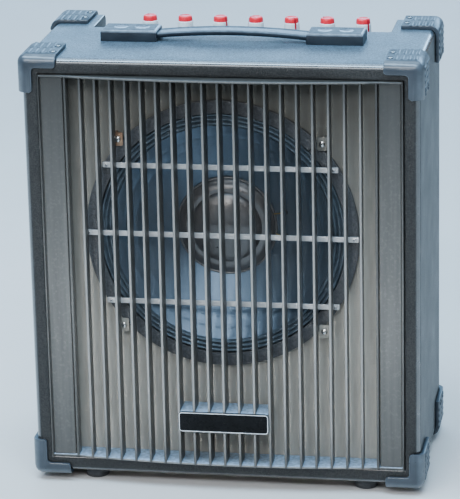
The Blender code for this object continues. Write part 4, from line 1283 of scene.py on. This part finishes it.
def dimple(bm, place, out, along):
    """A raised oval rim round a sunk screw."""
    out, along = Vector(out), Vector(along)
    across = out.cross(along)
    length, width, steps = 0.005, 0.0042, 28
    rows = []
    for share, lift in ((1.0, -0.0004), (0.97, 0.0003), (0.88, 0.0008), (0.76, 0.0005),
                        (0.62, 0.0001), (0.0005, 0.0)):
        rows.append([Vector(place) + along * (length * share * cos(tau * k / steps))
                     + across * (width * share * sin(tau * k / steps)) + out * lift
                     for k in range(steps)])
    grid(bm, rows, closed=True, mat=3)
    screw(bm, 0.0024, out, Vector(place) - out * 0.001)


def corner_template():
    """The left, front, top protector, about the cabinet's centre, with ribs and screws."""
    half_y, half_z = (BACK - FRONT) / 2, (TOP - BASE) / 2
    shell = corner_shell()
    bm = bmesh.new()
    bm.from_mesh(shell)
    for face in bm.faces:
        if abs(face.normal.y) < 0.12 and face.calc_center_median().y > -half_y + 0.002:
            face.material_index = 3
    skin = PROUD - 0.0009
    pitch = 0.0072
    front, joint, back = -half_y + 0.006, -half_y + 0.0285, -half_y - PROUD + CORNER_SIZE[1] + 0.0006
    for i in range(4):
        x = -HALF + 0.0058 + pitch * i
        z = half_z - 0.0058 - pitch * i
        for a, b in ((front, joint), (joint + 0.0012, back)):
            rib(bm, (x, a, half_z + skin), (x, b, half_z + skin), (0, 0, 1), (1, 0, 0))
            rib(bm, (-HALF - skin, a, z), (-HALF - skin, b, z), (-1, 0, 0), (0, 0, 1))
    inner_x = -HALF - PROUD + CORNER_SIZE[0] - 0.0056
    low_z = half_z + PROUD - CORNER_SIZE[2] + 0.0056
    for y in (-half_y + 0.014, -half_y + 0.04):
        dimple(bm, (inner_x, y, half_z + skin), (0, 0, 1), (0, 1, 0))
        dimple(bm, (-HALF - skin, y, low_z), (-1, 0, 0), (0, 1, 0))
    bpy.data.meshes.remove(shell)
    return bm


def corners():
    template = corner_template()
    mesh = bpy.data.meshes.new("corner_template")
    template.to_mesh(mesh)
    template.free()
    for vertical, up in (("top", 1), ("bottom", -1)):
        for face, toward in (("front", 1), ("rear", -1)):
            for hand, left in (("left", 1), ("right", -1)):
                bm = bmesh.new()
                bm.from_mesh(mesh)
                place = Matrix.Translation(CENTRE) @ Matrix.Diagonal((left, toward, up, 1))
                bmesh.ops.transform(bm, matrix=place, verts=bm.verts)
                # The marked edges carry the plastics' scuffed tint and a painted bluish highlight.
                mark_edges(make(f"protector_{vertical}_{face}_{hand}", bm,
                                [CORNER, NICKEL, BLACK, PLATE], "corner_plastic",
                                f"corner_{vertical}_{face}_{hand}", angle=40))
    bpy.data.meshes.remove(mesh)


def feet():
    """Ribbed rubber feet with a sunk washer and screw underneath."""
    for node in ("foot_front_left", "foot_front_right", "foot_rear_left", "foot_rear_right"):
        low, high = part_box(node)
        centre = ((low.x + high.x) / 2, (low.y + high.y) / 2, 0)
        top = high.z
        profile = [(0.0045, 0.0035), (0.0052, 0.003), (0.0056, 0.0004), (0.0062, 0.0), (0.0118, 0.0),
                   (0.0128, 0.0006), (0.0131, 0.0018), (0.0134, 0.004), (0.0131, 0.0044),
                   (0.0131, 0.0052), (0.0136, 0.0056), (0.0139, 0.008), (0.014, top - 0.001),
                   (0.0136, top), (0.0045, top)]
        bm = bmesh.new()
        lathe(bm, profile, centre, "Z", 48)
        lathe(bm, mm((0, 3.4), (5, 3.4), (5, 4.6), (0, 4.6)), centre, "Z", 32, 1)
        screw(bm, 0.003, (0, 0, -1), (centre[0], centre[1], 0.0036))
        make(node.replace("foot", "pad"), bm, [RUBBER, ZINC, BLACK], "foot_rubber", node)


def kept_nodes():
    """CAD nodes whose shape is right get a finished material."""
    for node, material in (("baffle_board", BAFFLE), ("control_panel", PANEL), ("chassis", ZINC),
                           ("control_board", BOARD_GREEN)):
        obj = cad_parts[node]
        obj.data.materials.clear()
        obj.data.materials.append(material)


# Stage

def stage():
    bm = bmesh.new()
    grid(bm, [[(x, y, 0.0) for x in (-9, 9)] for y in (-7, 11)])
    mesh = bpy.data.meshes.new("floor")
    bm.to_mesh(mesh)
    bm.free()
    mesh.materials.append(floor_paint())
    floor = bpy.data.objects.new("floor", mesh)
    bpy.context.scene.collection.objects.link(floor)


def lights():
    world = bpy.data.worlds.new("studio")
    world.use_nodes = True
    background = world.node_tree.nodes["Background"]
    background.inputs["Color"].default_value = (0.88, 0.93, 1.0, 1.0)
    background.inputs["Strength"].default_value = 0.22
    bpy.context.scene.world = world
    for name, place, target, size, power, colour, spread in (
            ("overhead", (0.2, 0.8, 2.9), (0, 0, 0.3), (3.2, 1.8), 80, (0.52, 0.76, 1.0), 180),
            ("strip", (-0.3, -0.75, 2.5), (0, FRONT, 0.3), (3.0, 0.8), 120, (0.52, 0.76, 1.0), 180),
            ("backdrop", (0, 4.2, 2.0), (0, 0, 0.4), (6.0, 1.6), 230, (0.36, 0.66, 1.0), 180),
            ("window", (-0.4, -2.3, 1.9), (0, FRONT, 0.27), (2.2, 0.8), 58, (0.84, 0.92, 1.0), 180),
            ("grid", (-0.5, -2.6, 0.9), (-0.05, FRONT, 0.21), (1.4, 0.4), 0.5, (1.0, 0.98, 0.95), 14)):
        data = bpy.data.lights.new(name, "AREA")
        data.shape = "RECTANGLE"
        data.size, data.size_y = size
        data.energy = power
        data.color = colour
        data.spread = radians(spread)
        light = bpy.data.objects.new(name, data)
        light.location = place
        light.rotation_euler = (Vector(target) - Vector(place)).to_track_quat("-Z", "Y").to_euler()
        light.visible_camera = False
        bpy.context.scene.collection.objects.link(light)


def camera():
    yaw, pitch, roll = (radians(a) for a in (9.88, 17.43, -1.25))
    distance = 3.121
    forward = Vector((-sin(yaw) * cos(pitch), cos(yaw) * cos(pitch), -sin(pitch)))
    right = Vector((cos(yaw), sin(yaw), 0))
    up = right.cross(forward)
    right, up = right * cos(roll) + up * sin(roll), up * cos(roll) - right * sin(roll)
    target = Vector((0.0087, FRONT, BASE + 0.2667))
    data = bpy.data.cameras.new("camera")
    data.lens = 207.2
    data.sensor_width = 36.0
    data.clip_end = 60
    obj = bpy.data.objects.new("camera", data)
    turn = Matrix((right, up, -forward)).transposed().to_4x4()
    obj.matrix_world = Matrix.Translation(target - forward * distance) @ turn
    bpy.context.scene.collection.objects.link(obj)
    bpy.context.scene.camera = obj


for build in (camera, cabinet_shell, back_panels, grille, badge, guard_bars, gasket, surround, cone,
              dust_cap, clamps, basket, motor, speaker_lead, knobs, panel_print, jack_and_lamp,
              power_switch, mains_inlet, transformer, handle_strap):
    build()
handle_cap("handle_cap_left", -1)
handle_cap("handle_cap_right", 1)
for build in (corners, feet, kept_nodes, stage, lights):
    build()
